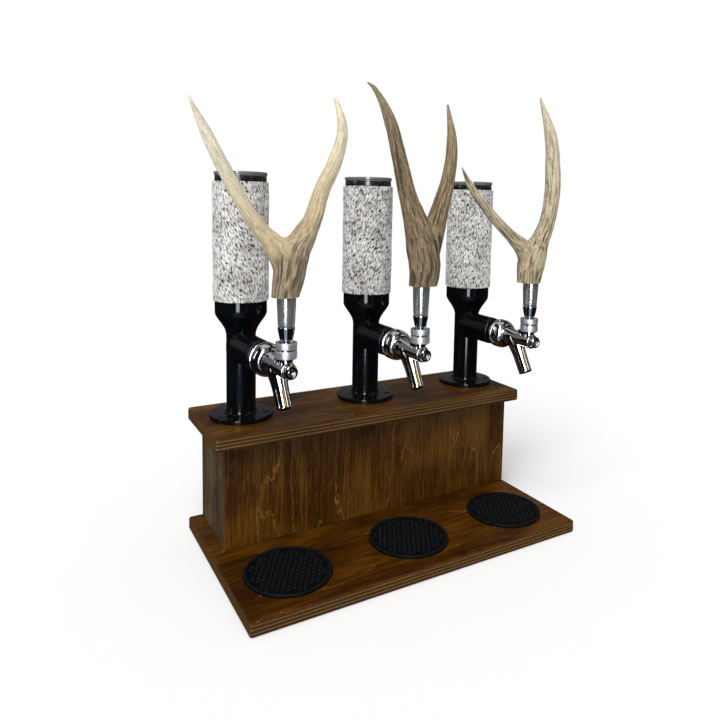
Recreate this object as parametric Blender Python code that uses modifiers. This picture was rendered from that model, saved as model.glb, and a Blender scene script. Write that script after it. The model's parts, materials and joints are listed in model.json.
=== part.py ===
"""Triple tap tower: three drink towers with antler tap handles on a two-step plywood stand.

Metres, +Z up, +X right, front towards -Y. The origin is the centre of the base board's underside.
Each tower is modelled in its own frame, which is an empty on the top board: its Z is the column's
axis and its -Y is the way the tap points.
"""

import math

import bmesh
import bpy
from mathutils import Matrix, Vector

# Stand
BOARD = 0.0165
BASE_WIDTH, BASE_DEPTH = 0.4455, 0.2515
RISER_LEFT, RISER_RIGHT = -0.206, 0.219
RISER_FRONT, RISER_BACK = 0.0176, 0.1194
RISER_HEIGHT = 0.1333
PANEL = 0.012
TOP_LEFT, TOP_RIGHT = -0.224, 0.218
TOP_FRONT = -0.0124
EDGE_RADIUS = 0.0028
PANEL_EDGE = 0.0008
GAP = 0.0003  # between touching pieces
SOFT = 0.0008  # the usual small chamfer on turned pieces
STAND_TOP = 2 * BOARD + RISER_HEIGHT

# Towers: name, place on the top board, and how far the tap is turned to the right
TOWERS = (
    ("left", (-0.1735, 0.0565), math.radians(2.4)),
    ("middle", (0.0025, 0.0600), 0.0),
    ("right", (0.1740, 0.0592), 0.0),
)

# Heights above the stand's top
FLANGE_RADIUS, FLANGE = 0.0388, 0.0055
SOCKET_FLOOR = 0.002
FILLET = 0.0042  # between the flange and its collar
SCREW_CIRCLE = 0.0307
SCREW_ANGLES = tuple(math.radians(a) for a in (-35, 85, 205))
SCREW_HOLE, SCREW_SINK, SCREW_SINK_BOTTOM = 0.0025, 0.0048, 0.0031
SCREW_HEAD, SCREW_SHAFT, SCREW_LOW = 0.0038, 0.0021, 0.0006
CROSS_WIDTH, CROSS_SLOT, CROSS_DEPTH = 0.0050, 0.0009, 0.0016
COLUMN_RADIUS, COLUMN_WALL = 0.0178, 0.003
TAP_HEIGHT = 0.0881
BOSS_RADIUS, BOSS_BACK = 0.0188, 0.002
BOSS_END, BOSS_ROUNDING, BOSS_TAPER = 0.0655, 0.0080, 0.0040
SHANK_HOLE_BACK = 0.0070
FLARE_BOTTOM, FLARE_TOP = 0.1015, 0.1302
CUP_RADIUS, CUP_TOP = 0.0312, 0.1451
CUP_WALL = 0.0025
SEAT_LIP, SEAT_DEPTH = 0.003, 0.005  # the ledge in the cup that the reservoir's neck rests over
TUBE_RADIUS, TUBE_WALL, TUBE_TOP = 0.0314, 0.0022, 0.2876
HIDE_RADIUS = 0.0336
HIDE_BOTTOM, HIDE_TOP = 0.1454, 0.2879
BAND_RADIUS, BAND_TOP = 0.0306, 0.2942
LID_RADIUS, LID_TOP = 0.0315, 0.2994
PLUG = 0.010

# Tap: distances run forwards from the column's axis
SHANK_RADIUS, SHANK_BORE = 0.0110, 0.0078
SHANK_BACK, SHANK_FRONT = 0.0125, 0.0880
NUT_RADIUS, NUT_BACK, NUT_FRONT = 0.0193, 0.0750, 0.0930
NUT_MOUTH, NUT_LIP = 0.0124, 0.0023
SPANNER_HOLES, SPANNER_HOLE = 6, 0.0021
BARREL_RADIUS, BARREL_BORE, BARREL_FRONT = 0.0095, 0.0050, 0.1430
BODY_BACK, GUIDE_FRONT = 0.0886, 0.1498
BODY_FLANGE_RADIUS, BODY_FLANGE = 0.0142, 0.0020
GUIDE_RADIUS, GUIDE_BACK = 0.0075, 0.1446
LEVER = 0.1354
PIVOT = 0.1139
NECK_RADIUS, NECK_TOP = 0.0069, 0.1010
NECK_LENGTH, NECK_ROOT = 0.0105, 0.0062  # the neck runs back from the lever, and starts inside the barrel
SLOT_BACK, SLOT_FRONT = 0.0144, 0.0032  # the slot the lever's arm swings in
SEAT_RADIUS, SEAT_TOP = 0.0092, 0.1087
BONNET_RADIUS, BONNET_TOP = 0.0115, 0.1187
BONNET_GROOVE, BONNET_DISH = 0.0104, 0.0020
BALL_RADIUS = 0.0070
ARM_RADIUS, ARM_LENGTH = 0.0022, 0.0272
COLLAR_BOTTOM, COLLAR_TOP = 0.1206, 0.1350
COLLAR_RADIUS, LEVER_NECK_RADIUS = 0.0092, 0.0034
FERRULE_BOTTOM, FERRULE_FOOT_RADIUS, FERRULE_RADIUS = 0.1354, 0.0089, 0.0101
STUD_RADIUS, STUD_TOP = 0.0045, 0.1500
SPIGOT_RADIUS, SPIGOT_LENGTH = 0.0040, 0.0150
SPOUT_ROOT, SPOUT_TIP = (0.1072, 0.0878), (0.1325, 0.0446)
SPOUT_ROOT_RADIUS, SPOUT_RADIUS, SPOUT_BORE = 0.0092, 0.0086, 0.0062
PLUNGER_RADIUS, PLUNGER_FRONT = 0.0047, 0.1486
PLUNGER_NECK, PLUNGER_NECK_FRONT = 0.0035, 0.1172
WASHER_RADIUS, WASHER_BACK, WASHER_FRONT = 0.0070, 0.0848, 0.0882
NOSE_RADIUS, NOSE = 0.0056, 0.0042

# Coasters
COASTER_RADIUS, COASTER = 0.0500, 0.0038
COASTER_RIM, COASTER_RECESS = 0.0030, 0.0010
COASTERS = (("left", -0.1564, -0.0586), ("middle", 0.0030, -0.0594), ("right", 0.1562, -0.0590))

# Antlers: the height of the sawn foot, and a smooth curve through (x, y, height, radius) points for
# the trunk, the tine that forks from it and, on one, the burr, all from the tap lever's axis
ANTLERS = {
    "left": {
        "foot": 0.1664,
        "trunk": (
            (-0.003, 0, 0.159, 0.0138), (0.003, 0, 0.190, 0.0172), (0.007, 0, 0.209, 0.0176),
            (0.0185, 0, 0.228, 0.0136), (0.029, 0, 0.246, 0.0101), (0.041, 0.002, 0.278, 0.0088),
            (0.057, 0.004, 0.309, 0.0080), (0.067, 0.007, 0.345, 0.0060), (0.060, 0.012, 0.379, 0.0018),
        ),
        "tine": (
            (0.003, 0, 0.193, 0.0150), (-0.011, 0, 0.2175, 0.0137), (-0.026, 0, 0.2335, 0.0089),
            (-0.044, -0.002, 0.2565, 0.0075), (-0.069, -0.006, 0.298, 0.0072),
            (-0.0865, -0.009, 0.3295, 0.0054), (-0.104, -0.016, 0.360, 0.0012),
        ),
        "burr": (),
    },
    "middle": {
        "foot": 0.1697,
        "trunk": (
            (0.001, 0, 0.162, 0.0164), (0.004, 0, 0.193, 0.0195), (-0.001, 0, 0.2145, 0.0188),
            (-0.0075, 0, 0.238, 0.0158), (-0.020, 0, 0.270, 0.0110), (-0.038, -0.0035, 0.323, 0.0084),
            (-0.0505, -0.007, 0.3555, 0.0070), (-0.074, -0.012, 0.3885, 0.0028),
            (-0.084, -0.014, 0.394, 0.0010),
        ),
        "tine": (
            (0.005, 0, 0.199, 0.0150), (0.0145, 0, 0.231, 0.0140), (0.0255, 0, 0.266, 0.0104),
            (0.036, 0.0015, 0.2995, 0.0083), (0.041, 0.004, 0.337, 0.0068), (0.0365, 0.0095, 0.3845, 0.0016),
        ),
        "burr": ((0.008, 0, 0.1955, 0.0100), (0.018, 0, 0.1965, 0.0070), (0.0245, 0, 0.197, 0.0030)),
    },
    "right": {
        "foot": 0.1664,
        "trunk": (
            (-0.0045, 0, 0.159, 0.0150), (-0.001, 0, 0.189, 0.0188), (0.004, 0, 0.2055, 0.0182),
            (0.0145, 0, 0.2235, 0.0122), (0.0245, 0, 0.2455, 0.0106), (0.0325, 0.0015, 0.281, 0.0109),
            (0.034, 0.004, 0.318, 0.0104), (0.0305, 0.007, 0.357, 0.0085), (0.015, 0.014, 0.4075, 0.0016),
        ),
        "tine": (
            (-0.003, 0, 0.193, 0.0150), (-0.014, 0, 0.210, 0.0125), (-0.0365, 0, 0.2265, 0.0076),
            (-0.058, 0.001, 0.244, 0.0067), (-0.0845, 0.004, 0.2705, 0.0056),
            (-0.1005, 0.007, 0.2905, 0.0042), (-0.113, 0.008, 0.3115, 0.0010),
        ),
        "burr": (),
    },
}
ANTLER_DEPTH = 0.88  # an antler is a little thinner front to back

SAW = 0.06  # a block that cuts the antlers' feet flat

ROUND = 24
SMALL_ROUND = 16
FORWARDS = (math.radians(90), 0, 0)  # turns a piece's Z to its tower's -Y

MATERIALS = {
    "stained_plywood": ((0.16, 0.06, 0.02), 0.35, 0.0),
    "black_paint": ((0.008, 0.008, 0.009), 0.12, 0.0),
    "cowhide": ((0.62, 0.60, 0.57), 0.85, 0.0),
    "reservoir_plastic": ((0.02, 0.02, 0.022), 0.25, 0.0),
    "stopper_rubber": ((0.01, 0.01, 0.01), 0.45, 0.0),
    "lid_plastic": ((0.22, 0.23, 0.23), 0.15, 0.0),
    "chrome": ((0.83, 0.83, 0.84), 0.06, 1.0),
    "antler": ((0.55, 0.43, 0.29), 0.6, 0.0),
    "coaster_silicone": ((0.012, 0.014, 0.016), 0.6, 0.0),
    "black_screw": ((0.015, 0.015, 0.015), 0.3, 0.6),
}


def clear_scene():
    for old in list(bpy.data.objects):
        bpy.data.objects.remove(old)


def new_collection(name):
    made = bpy.data.collections.new(name)
    bpy.context.scene.collection.children.link(made)
    return made


def make_material(name):
    colour, roughness, metallic = MATERIALS[name]
    made = bpy.data.materials.new(name)
    made.use_nodes = True
    shader = made.node_tree.nodes["Principled BSDF"]
    shader.inputs["Base Color"].default_value = (*colour, 1)
    shader.inputs["Roughness"].default_value = roughness
    shader.inputs["Metallic"].default_value = metallic
    made.diffuse_color = (*colour, 1)
    return made


def add_object(name, mesh, material, parent=None, at=(0, 0, 0), turn=(0, 0, 0)):
    """A part in the tap tower's collection, or a hidden cutter where material is None."""
    made = bpy.data.objects.new(name, mesh)
    made.location = at
    made.rotation_euler = turn
    made.parent = parent
    if material is None:
        CUTTERS.objects.link(made)
        made.hide_render = True
        made.display_type = "WIRE"
    else:
        mesh.materials.append(PAINTS[material])
        PARTS.objects.link(made)
    return made


def mesh_from(build):
    """A mesh made by build(bm)."""
    mesh = bpy.data.meshes.new("shape")
    bm = bmesh.new()
    build(bm)
    bmesh.ops.recalc_face_normals(bm, faces=bm.faces)
    bm.to_mesh(mesh)
    bm.free()
    return mesh


def box_mesh(size):
    return mesh_from(lambda bm: bmesh.ops.create_cube(bm, size=1, matrix=Matrix.Diagonal((*size, 1))))


def rod_mesh(radius, low, high, sides=SMALL_ROUND, top_radius=None):
    """A cylinder or cone along Z from low to high."""
    shift = Matrix.Translation((0, 0, (low + high) / 2))

    def build(bm):
        bmesh.ops.create_cone(
            bm, cap_ends=True, segments=sides, radius1=radius,
            radius2=radius if top_radius is None else top_radius, depth=high - low, matrix=shift,
        )

    return mesh_from(build)


def board(name, low, high, bevel=EDGE_RADIUS):
    """A plywood board between two corners, its edges rounded over."""
    low, high = Vector(low), Vector(high)
    made = add_object(name, box_mesh(high - low), "stained_plywood", at=(low + high) / 2)
    rounding = made.modifiers.new("rounded edges", "BEVEL")
    rounding.width = bevel
    rounding.segments = 2
    return made


def turned(name, profile, material, parent=None, at=(0, 0, 0), turn=(0, 0, 0), steps=ROUND, closed=False):
    """A profile of (radius, height), outer side first from the top down, turned about Z."""
    mesh = bpy.data.meshes.new(name)
    edges = [(i, i + 1) for i in range(len(profile) - 1)]
    if closed:
        edges.append((len(profile) - 1, 0))
    mesh.from_pydata([(r, 0, z) for r, z in profile], edges, [])
    made = add_object(name, mesh, material, parent, at, turn)
    screw = made.modifiers.new("turned", "SCREW")
    screw.axis = "Z"
    screw.steps = steps
    screw.render_steps = steps
    screw.use_merge_vertices = True
    screw.merge_threshold = 0.0001
    screw.use_smooth_shade = False
    return made


def lathe_mesh(profile, sides=ROUND):
    """A solid from (radius, height) points, from the top of the axis down to its foot, turned about Z."""
    def build(bm):
        rings = []
        for r, z in profile:
            angles = [math.tau * k / sides for k in range(sides)] if r > 0 else [0]
            rings.append([bm.verts.new((r * math.cos(a), r * math.sin(a), z)) for a in angles])
        for upper, lower in zip(rings, rings[1:]):
            for k in range(sides):
                loop = [ring[(k + step) % len(ring)] for ring, step in
                        ((upper, 0), (lower, 0), (lower, 1), (upper, 1))]
                bm.faces.new(list(dict.fromkeys(loop)))

    return mesh_from(build)


def combine(target, other, operation):
    change = target.modifiers.new(operation.lower(), "BOOLEAN")
    change.operation = operation
    change.solver = "EXACT"
    change.object = other


def cut_with(target, mesh, at=(0, 0, 0), turn=(0, 0, 0)):
    cutter = add_object(target.name + " cutter", mesh, None, target.parent, at, turn)
    combine(target, cutter, "DIFFERENCE")


def join_with(target, mesh, at=(0, 0, 0), turn=(0, 0, 0)):
    added = add_object(target.name + " joined", mesh, None, target.parent, at, turn)
    combine(target, added, "UNION")


def arc(centre, radius, start, end, steps):
    """Points on an arc in the (radius, height) plane, angles in degrees from the outward direction."""
    angles = [math.radians(start + (end - start) * i / steps) for i in range(steps + 1)]
    return [(centre[0] + radius * math.cos(a), centre[1] + radius * math.sin(a)) for a in angles]


def s_curve(top, bottom, steps):
    """Points of a smooth flare from a wide (radius, height) down to a narrow one."""
    points = []
    for i in range(steps + 1):
        t = i / steps
        eased = (1 - math.cos(math.pi * t ** 0.8)) / 2
        points.append((top[0] + (bottom[0] - top[0]) * eased, top[1] + (bottom[1] - top[1]) * t))
    return points


def beam_mesh(points):
    """A beam of an antler: round sections along a smooth curve through (x, y, height, radius) points."""
    curve = bpy.data.curves.new("beam", "CURVE")
    curve.dimensions = "3D"
    curve.bevel_depth = 1
    curve.bevel_resolution = 3
    curve.resolution_u = 3
    curve.use_fill_caps = True
    path = curve.splines.new("BEZIER")
    path.bezier_points.add(len(points) - 1)
    for point, (x, y, z, radius) in zip(path.bezier_points, points):
        point.co = (x, y, z)
        point.radius = radius
        point.handle_left_type = "AUTO"
        point.handle_right_type = "AUTO"
    holder = bpy.data.objects.new("beam", curve)
    mesh = bpy.data.meshes.new_from_object(holder)
    bpy.data.objects.remove(holder)

    def build(bm):
        bm.from_mesh(mesh)
        bmesh.ops.remove_doubles(bm, verts=bm.verts, dist=0.00001)
        bmesh.ops.scale(bm, verts=bm.verts, vec=(1, ANTLER_DEPTH, 1))

    return mesh_from(build)


def build_stand():
    half_w, half_d = BASE_WIDTH / 2, BASE_DEPTH / 2
    low = BOARD + GAP
    high = STAND_TOP - BOARD - GAP
    board("base_board", (-half_w, -half_d, 0), (half_w, half_d, BOARD))
    board("top_board", (TOP_LEFT, TOP_FRONT, STAND_TOP - BOARD), (TOP_RIGHT, RISER_BACK, STAND_TOP))
    inner = (RISER_FRONT + PANEL + GAP, RISER_BACK - PANEL - GAP)
    board("riser_front", (RISER_LEFT, RISER_FRONT, low), (RISER_RIGHT, RISER_FRONT + PANEL, high), PANEL_EDGE)
    board("riser_back", (RISER_LEFT, RISER_BACK - PANEL, low), (RISER_RIGHT, RISER_BACK, high), PANEL_EDGE)
    board("riser_left", (RISER_LEFT, inner[0], low), (RISER_LEFT + PANEL, inner[1], high), PANEL_EDGE)
    board("riser_right", (RISER_RIGHT - PANEL, inner[0], low), (RISER_RIGHT, inner[1], high), PANEL_EDGE)


def build_coasters():
    inside = COASTER_RADIUS - COASTER_RIM
    floor = COASTER - COASTER_RECESS
    profile = [(0, floor), (inside, floor), (inside, COASTER), (COASTER_RADIUS - SOFT, COASTER)]
    profile += [(COASTER_RADIUS, COASTER - SOFT), (COASTER_RADIUS, 0), (0, 0)]
    for side, x, y in COASTERS:
        turned("coaster_" + side, profile, "coaster_silicone", at=(x, y, BOARD + GAP), steps=30)


def build_flange(side, tower):
    socket = COLUMN_RADIUS + GAP
    collar = arc((socket + 0.0006 + FILLET, FLANGE + FILLET), FILLET, 180, 270, 3)
    profile = [(socket, SOCKET_FLOOR), (socket, FLANGE + FILLET)] + collar
    profile += [(FLANGE_RADIUS - SOFT, FLANGE), (FLANGE_RADIUS, FLANGE - SOFT)]
    profile += [(FLANGE_RADIUS, GAP), (0, GAP)]
    made = turned("flange_" + side, [(0, SOCKET_FLOOR)] + profile, "black_paint", tower)
    for number, angle in enumerate(SCREW_ANGLES, 1):
        at = (SCREW_CIRCLE * math.cos(angle), SCREW_CIRCLE * math.sin(angle), 0)
        cut_with(made, rod_mesh(SCREW_HOLE, -0.001, SCREW_SINK_BOTTOM + 0.0009), at)
        cut_with(made, rod_mesh(SCREW_HOLE, SCREW_SINK_BOTTOM, FLANGE + 0.0005, top_radius=SCREW_SINK), at)
        build_screw(side, number, tower, at)


def build_screw(side, number, tower, at):
    """A countersunk wood screw, its thread ending in the flange: what is in the wood is left out."""
    head = FLANGE - 0.0006
    profile = [(0, head), (SCREW_HEAD, head), (SCREW_SHAFT, head - 0.0022), (SCREW_SHAFT, SCREW_LOW)]
    profile += [(0, SCREW_LOW)]
    made = turned(f"flange_screw_{side}_{number}", profile, "black_screw", tower, at, steps=10)
    for width, depth in ((CROSS_WIDTH, CROSS_SLOT), (CROSS_SLOT, CROSS_WIDTH)):
        cut_with(made, box_mesh((width, depth, CROSS_DEPTH)), (at[0], at[1], head))


def build_tower_body(side, tower):
    """The column, its tap boss, and the flared cup that holds the reservoir: one hollow piece."""
    inner = COLUMN_RADIUS - COLUMN_WALL
    cup_inner = CUP_RADIUS - CUP_WALL
    profile = [(cup_inner, CUP_TOP), (CUP_RADIUS, CUP_TOP)]
    profile += s_curve((CUP_RADIUS, FLARE_TOP), (COLUMN_RADIUS, FLARE_BOTTOM), 5)
    profile += [(COLUMN_RADIUS, SOCKET_FLOOR + GAP), (inner, SOCKET_FLOOR + GAP)]
    ledge = FLARE_TOP - SEAT_DEPTH
    reach = BOSS_RADIUS + GAP
    profile += [(inner, TAP_HEIGHT + reach + GAP), (cup_inner - SEAT_LIP, ledge - 0.003)]
    profile += [(cup_inner - SEAT_LIP, ledge), (cup_inner, ledge)]
    made = turned("tower_body_" + side, profile, "black_paint", tower, closed=True)
    at = (0, 0, TAP_HEIGHT)
    boss = [(0, BOSS_END)]
    for out, ahead in arc((0, 0), 1, 90, 0, 3):
        boss.append((BOSS_RADIUS - BOSS_TAPER * (1 - out), BOSS_END - BOSS_ROUNDING * (1 - ahead)))
    boss += [(BOSS_RADIUS, -BOSS_BACK), (0, -BOSS_BACK)]
    join_with(made, lathe_mesh(boss), at, FORWARDS)
    cut_with(made, rod_mesh(inner + GAP, TAP_HEIGHT - reach, TAP_HEIGHT + reach, ROUND))
    cut_with(made, rod_mesh(SHANK_RADIUS + GAP, SHANK_HOLE_BACK, BOSS_END + 0.001), at, FORWARDS)


def build_reservoir(side, tower):
    """The drink's tube, open at its top and at the neck that sits in the cup, and the hide round it."""
    neck = CUP_RADIUS - CUP_WALL - GAP
    profile = [(TUBE_RADIUS - TUBE_WALL, TUBE_TOP), (TUBE_RADIUS, TUBE_TOP)]
    profile += [(TUBE_RADIUS, CUP_TOP + GAP), (neck, CUP_TOP + GAP), (neck, FLARE_TOP - 0.0045)]
    profile += [(neck - TUBE_WALL, FLARE_TOP - 0.0045), (neck - TUBE_WALL, CUP_TOP + 0.002)]
    profile += [(TUBE_RADIUS - TUBE_WALL, CUP_TOP + 0.006)]
    turned("reservoir_tube_" + side, profile, "reservoir_plastic", tower, closed=True)
    inside = TUBE_RADIUS + GAP
    sleeve = [(inside, HIDE_TOP), (HIDE_RADIUS, HIDE_TOP), (HIDE_RADIUS, HIDE_BOTTOM), (inside, HIDE_BOTTOM)]
    turned("hide_sleeve_" + side, sleeve, "cowhide", tower, closed=True)


def build_lid(side, tower):
    """A rubber stopper whose plug fills the tube's mouth, and the disc on top of it."""
    plug = TUBE_RADIUS - TUBE_WALL - GAP
    bottom = HIDE_TOP + GAP
    profile = [(0, BAND_TOP), (BAND_RADIUS, BAND_TOP), (BAND_RADIUS, bottom), (plug, bottom)]
    profile += [(plug, bottom - PLUG + SOFT), (plug - SOFT, bottom - PLUG), (0, bottom - PLUG)]
    turned("lid_stopper_" + side, profile, "stopper_rubber", tower)
    low = BAND_TOP + GAP
    disc = [(0, LID_TOP), (LID_RADIUS - SOFT, LID_TOP), (LID_RADIUS, LID_TOP - SOFT)]
    disc += [(LID_RADIUS, low + SOFT), (LID_RADIUS - SOFT, low), (0, low)]
    turned("lid_disc_" + side, disc, "lid_plastic", tower)


def build_shank(side, tower):
    """The tube through the boss, and the coupling nut that holds the faucet on it."""
    at = (0, 0, TAP_HEIGHT)
    tube = [(SHANK_BORE, SHANK_FRONT), (SHANK_RADIUS, SHANK_FRONT), (SHANK_RADIUS, SHANK_BACK)]
    tube += [(SHANK_BORE, SHANK_BACK)]
    turned("shank_" + side, tube, "chrome", tower, at, FORWARDS, SMALL_ROUND, closed=True)
    hole = SHANK_RADIUS + GAP
    room = BODY_FLANGE_RADIUS + GAP
    r = NUT_RADIUS
    lip = BODY_BACK + NUT_LIP
    dome = NUT_FRONT - 0.0090
    nut = [(NUT_MOUTH, NUT_FRONT), (0.0142, NUT_FRONT), (0.0166, NUT_FRONT - 0.0022)]
    nut += [(0.0182, NUT_FRONT - 0.0056), (r, dome), (r, NUT_BACK + 0.0058)]
    nut += [(r - 0.0010, NUT_BACK + 0.0050), (r, NUT_BACK + 0.0042), (r, NUT_BACK), (hole, NUT_BACK)]
    nut += [(hole, BODY_BACK - 2 * GAP), (room, BODY_BACK - GAP), (room, lip), (NUT_MOUTH, lip)]
    made = turned("coupling_nut_" + side, nut, "chrome", tower, at, FORWARDS, 20, closed=True)
    for k in range(SPANNER_HOLES):
        angle = math.tau * (k + 0.5) / SPANNER_HOLES
        spot = (r * math.cos(angle), -dome, TAP_HEIGHT + r * math.sin(angle))
        cut_with(made, rod_mesh(SPANNER_HOLE, -0.0028, 0.002, 8), spot, (0, math.pi / 2 - angle, 0))


def build_faucet_body(side, tower):
    """The barrel, its slotted neck, the seat for the lever's ball, and the slanting spout."""
    at = (0, 0, TAP_HEIGHT)
    flange = (BODY_FLANGE_RADIUS, BODY_BACK + BODY_FLANGE)
    profile = [(0, GUIDE_FRONT), (0.0068, GUIDE_FRONT), (GUIDE_RADIUS, GUIDE_FRONT - SOFT)]
    profile += [(GUIDE_RADIUS, GUIDE_BACK), (0.0066, BARREL_FRONT + SOFT), (BARREL_RADIUS, BARREL_FRONT)]
    profile += [(BARREL_RADIUS, 0.1130), (0.0108, 0.1010), (0.0120, flange[1]), flange]
    profile += [(flange[0], BODY_BACK), (0, BODY_BACK)]
    made = turned("faucet_body_" + side, profile, "chrome", tower, at, FORWARDS, 18)
    low = TAP_HEIGHT + NECK_ROOT
    for y in (-LEVER, NECK_LENGTH - LEVER):
        join_with(made, rod_mesh(NECK_RADIUS, low, NECK_TOP), (0, y, 0))
    web = (2 * NECK_RADIUS - 0.0002, NECK_LENGTH, NECK_TOP - low - 0.0001)
    join_with(made, box_mesh(web), (0, NECK_LENGTH / 2 - LEVER, (low + NECK_TOP) / 2))
    join_with(made, rod_mesh(SEAT_RADIUS, NECK_TOP - 0.0010, SEAT_TOP), (0, -LEVER, 0))
    root, tip = Vector((0, -SPOUT_ROOT[0], SPOUT_ROOT[1])), Vector((0, -SPOUT_TIP[0], SPOUT_TIP[1]))
    slope = (tip - root).to_track_quat("Z", "X").to_euler()
    length = (tip - root).length
    join_with(made, rod_mesh(SPOUT_ROOT_RADIUS, 0, length, top_radius=SPOUT_RADIUS), root, slope)
    cut_with(made, rod_mesh(SPOUT_BORE, 0.0010, length + 0.002), root, slope)
    cut_with(made, rod_mesh(BARREL_BORE, BODY_BACK - 0.001, GUIDE_FRONT + 0.001), at, FORWARDS)
    cut_with(made, rod_mesh(BALL_RADIUS - 0.0016, TAP_HEIGHT + 0.001, SEAT_TOP + 0.001), (0, -LEVER, 0))
    slot = box_mesh((2 * ARM_RADIUS + 0.0012, SLOT_BACK + SLOT_FRONT, SEAT_TOP - TAP_HEIGHT + 0.002))
    cut_with(made, slot, (0, (SLOT_BACK - SLOT_FRONT) / 2 - LEVER, (SEAT_TOP + TAP_HEIGHT) / 2 + 0.001))


def build_bonnet(side, tower):
    """The nut, in two bands, that holds the lever's ball down."""
    inside = SEAT_RADIUS + GAP
    low = NECK_TOP + GAP
    socket = BALL_RADIUS + 0.0004
    rim, dish = BONNET_TOP, BONNET_TOP - BONNET_DISH
    groove = SEAT_TOP + 0.0015
    profile = [(0.0067, dish), (0.0098, dish), (0.0102, rim - 0.0006), (0.0106, rim)]
    profile += [(BONNET_RADIUS, rim - SOFT), (BONNET_RADIUS, groove + 0.0010), (BONNET_GROOVE, groove)]
    profile += [(BONNET_RADIUS, groove - 0.0010), (BONNET_RADIUS, low + SOFT), (BONNET_GROOVE, low)]
    profile += [(inside, low), (inside, SEAT_TOP + 0.0008), (socket, SEAT_TOP + 0.0010)]
    profile += [(socket, PIVOT + 0.0010)]
    turned("bonnet_" + side, profile, "chrome", tower, (0, -LEVER, 0), steps=16, closed=True)


def build_lever(side, tower):
    """The ball lever: its arm reaches down into the plunger, and its stud holds the ferrule."""
    hinge = (0, -LEVER, PIVOT)
    ball = arc((0, 0), BALL_RADIUS, 60, -65, 6)
    top = COLLAR_TOP - PIVOT
    bottom = COLLAR_BOTTOM - PIVOT
    stud = STUD_TOP - PIVOT
    neck = LEVER_NECK_RADIUS
    profile = [(0, stud), (STUD_RADIUS - 0.0006, stud), (STUD_RADIUS, stud - SOFT), (STUD_RADIUS, top)]
    profile += [(COLLAR_RADIUS - 0.0006, top), (COLLAR_RADIUS, top - SOFT), (COLLAR_RADIUS, top - 0.0020)]
    profile += [(0.0070, bottom + 0.0006)]
    profile += [(0.0062, bottom), (neck, bottom), (neck, ball[0][1] + 0.0003)] + ball
    profile += [(ARM_RADIUS, ball[-1][1] - 0.0002), (ARM_RADIUS, 0.0006 - ARM_LENGTH)]
    profile += [(ARM_RADIUS - 0.0006, -ARM_LENGTH), (0, -ARM_LENGTH)]
    turned("lever_" + side, profile, "chrome", tower, hinge, steps=16)


def build_plunger(side, tower):
    """The valve's shaft: its seat washer is joined to it, and its slot takes the lever's arm."""
    at = (0, 0, TAP_HEIGHT)
    r, neck = PLUNGER_RADIUS, PLUNGER_NECK
    back = WASHER_BACK - NOSE
    profile = [(0, PLUNGER_FRONT), (0.0028, PLUNGER_FRONT), (r, PLUNGER_FRONT - 0.0012)]
    profile += [(r, PLUNGER_NECK_FRONT + SOFT), (neck, PLUNGER_NECK_FRONT), (neck, WASHER_FRONT)]
    profile += [(WASHER_RADIUS, WASHER_FRONT), (WASHER_RADIUS, WASHER_BACK), (NOSE_RADIUS, WASHER_BACK)]
    profile += [(NOSE_RADIUS, back + 0.0006), (NOSE_RADIUS - 0.0006, back), (0, back)]
    made = turned("plunger_" + side, profile, "chrome", tower, at, FORWARDS, 14)
    cut_with(made, box_mesh((2 * ARM_RADIUS + 0.0007, 0.0072, 0.02)), (0, -LEVER, TAP_HEIGHT))


def build_handle(side, tower):
    """The ferrule on the lever's stud, and the antler on the ferrule's spigot."""
    antler = ANTLERS[side]
    top = antler["foot"] - GAP
    spigot = top + SPIGOT_LENGTH
    at = (0, -LEVER, 0)
    profile = [(0, spigot), (SPIGOT_RADIUS - 0.001, spigot), (SPIGOT_RADIUS, spigot - 0.0012)]
    profile += [(SPIGOT_RADIUS, top), (FERRULE_RADIUS - 0.0006, top), (FERRULE_RADIUS, top - 0.0010)]
    profile += [(FERRULE_RADIUS, top - 0.0025), (FERRULE_FOOT_RADIUS, FERRULE_BOTTOM + SOFT)]
    profile += [(FERRULE_FOOT_RADIUS - 0.0004, FERRULE_BOTTOM)]
    profile += [(STUD_RADIUS + GAP, FERRULE_BOTTOM), (STUD_RADIUS + GAP, STUD_TOP + 0.0008)]
    profile += [(0, STUD_TOP + 0.0015)]
    turned("ferrule_" + side, profile, "chrome", tower, at, steps=16)
    made = add_object("antler_handle_" + side, beam_mesh(antler["trunk"]), "antler", tower, at)
    join_with(made, beam_mesh(antler["tine"]), at)
    if antler["burr"]:
        join_with(made, beam_mesh(antler["burr"]), at)
    cut_with(made, box_mesh((SAW, SAW, SAW)), (0, -LEVER, antler["foot"] - SAW / 2))
    cut_with(made, rod_mesh(SPIGOT_RADIUS + GAP, top - GAP, spigot + GAP, 12), at)


def build_tower(side, place, turn):
    tower = bpy.data.objects.new("tower " + side, None)
    tower.location = (*place, STAND_TOP)
    tower.rotation_euler = (0, 0, turn)
    PARTS.objects.link(tower)
    for build in (build_flange, build_tower_body, build_reservoir, build_lid, build_shank,
                  build_faucet_body, build_bonnet, build_lever, build_plunger, build_handle):
        build(side, tower)


clear_scene()
PARTS = new_collection("Triple tap tower")
CUTTERS = new_collection("Cutters")
PAINTS = {name: make_material(name) for name in MATERIALS}
build_stand()
build_coasters()
for tower_name, tower_place, tower_turn in TOWERS:
    build_tower(tower_name, tower_place, tower_turn)
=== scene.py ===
"""The looks of the triple tap tower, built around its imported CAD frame.

Metres, +Z up, front towards -Y. Each tower's pieces are modelled in the tower's own frame: its Z is the
column's axis, its -Y is the way the tap points, and its origin lies on the top board.
"""

import json
import math

import bmesh
import bpy
import numpy as np
from mathutils import Matrix, Vector, noise


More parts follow.
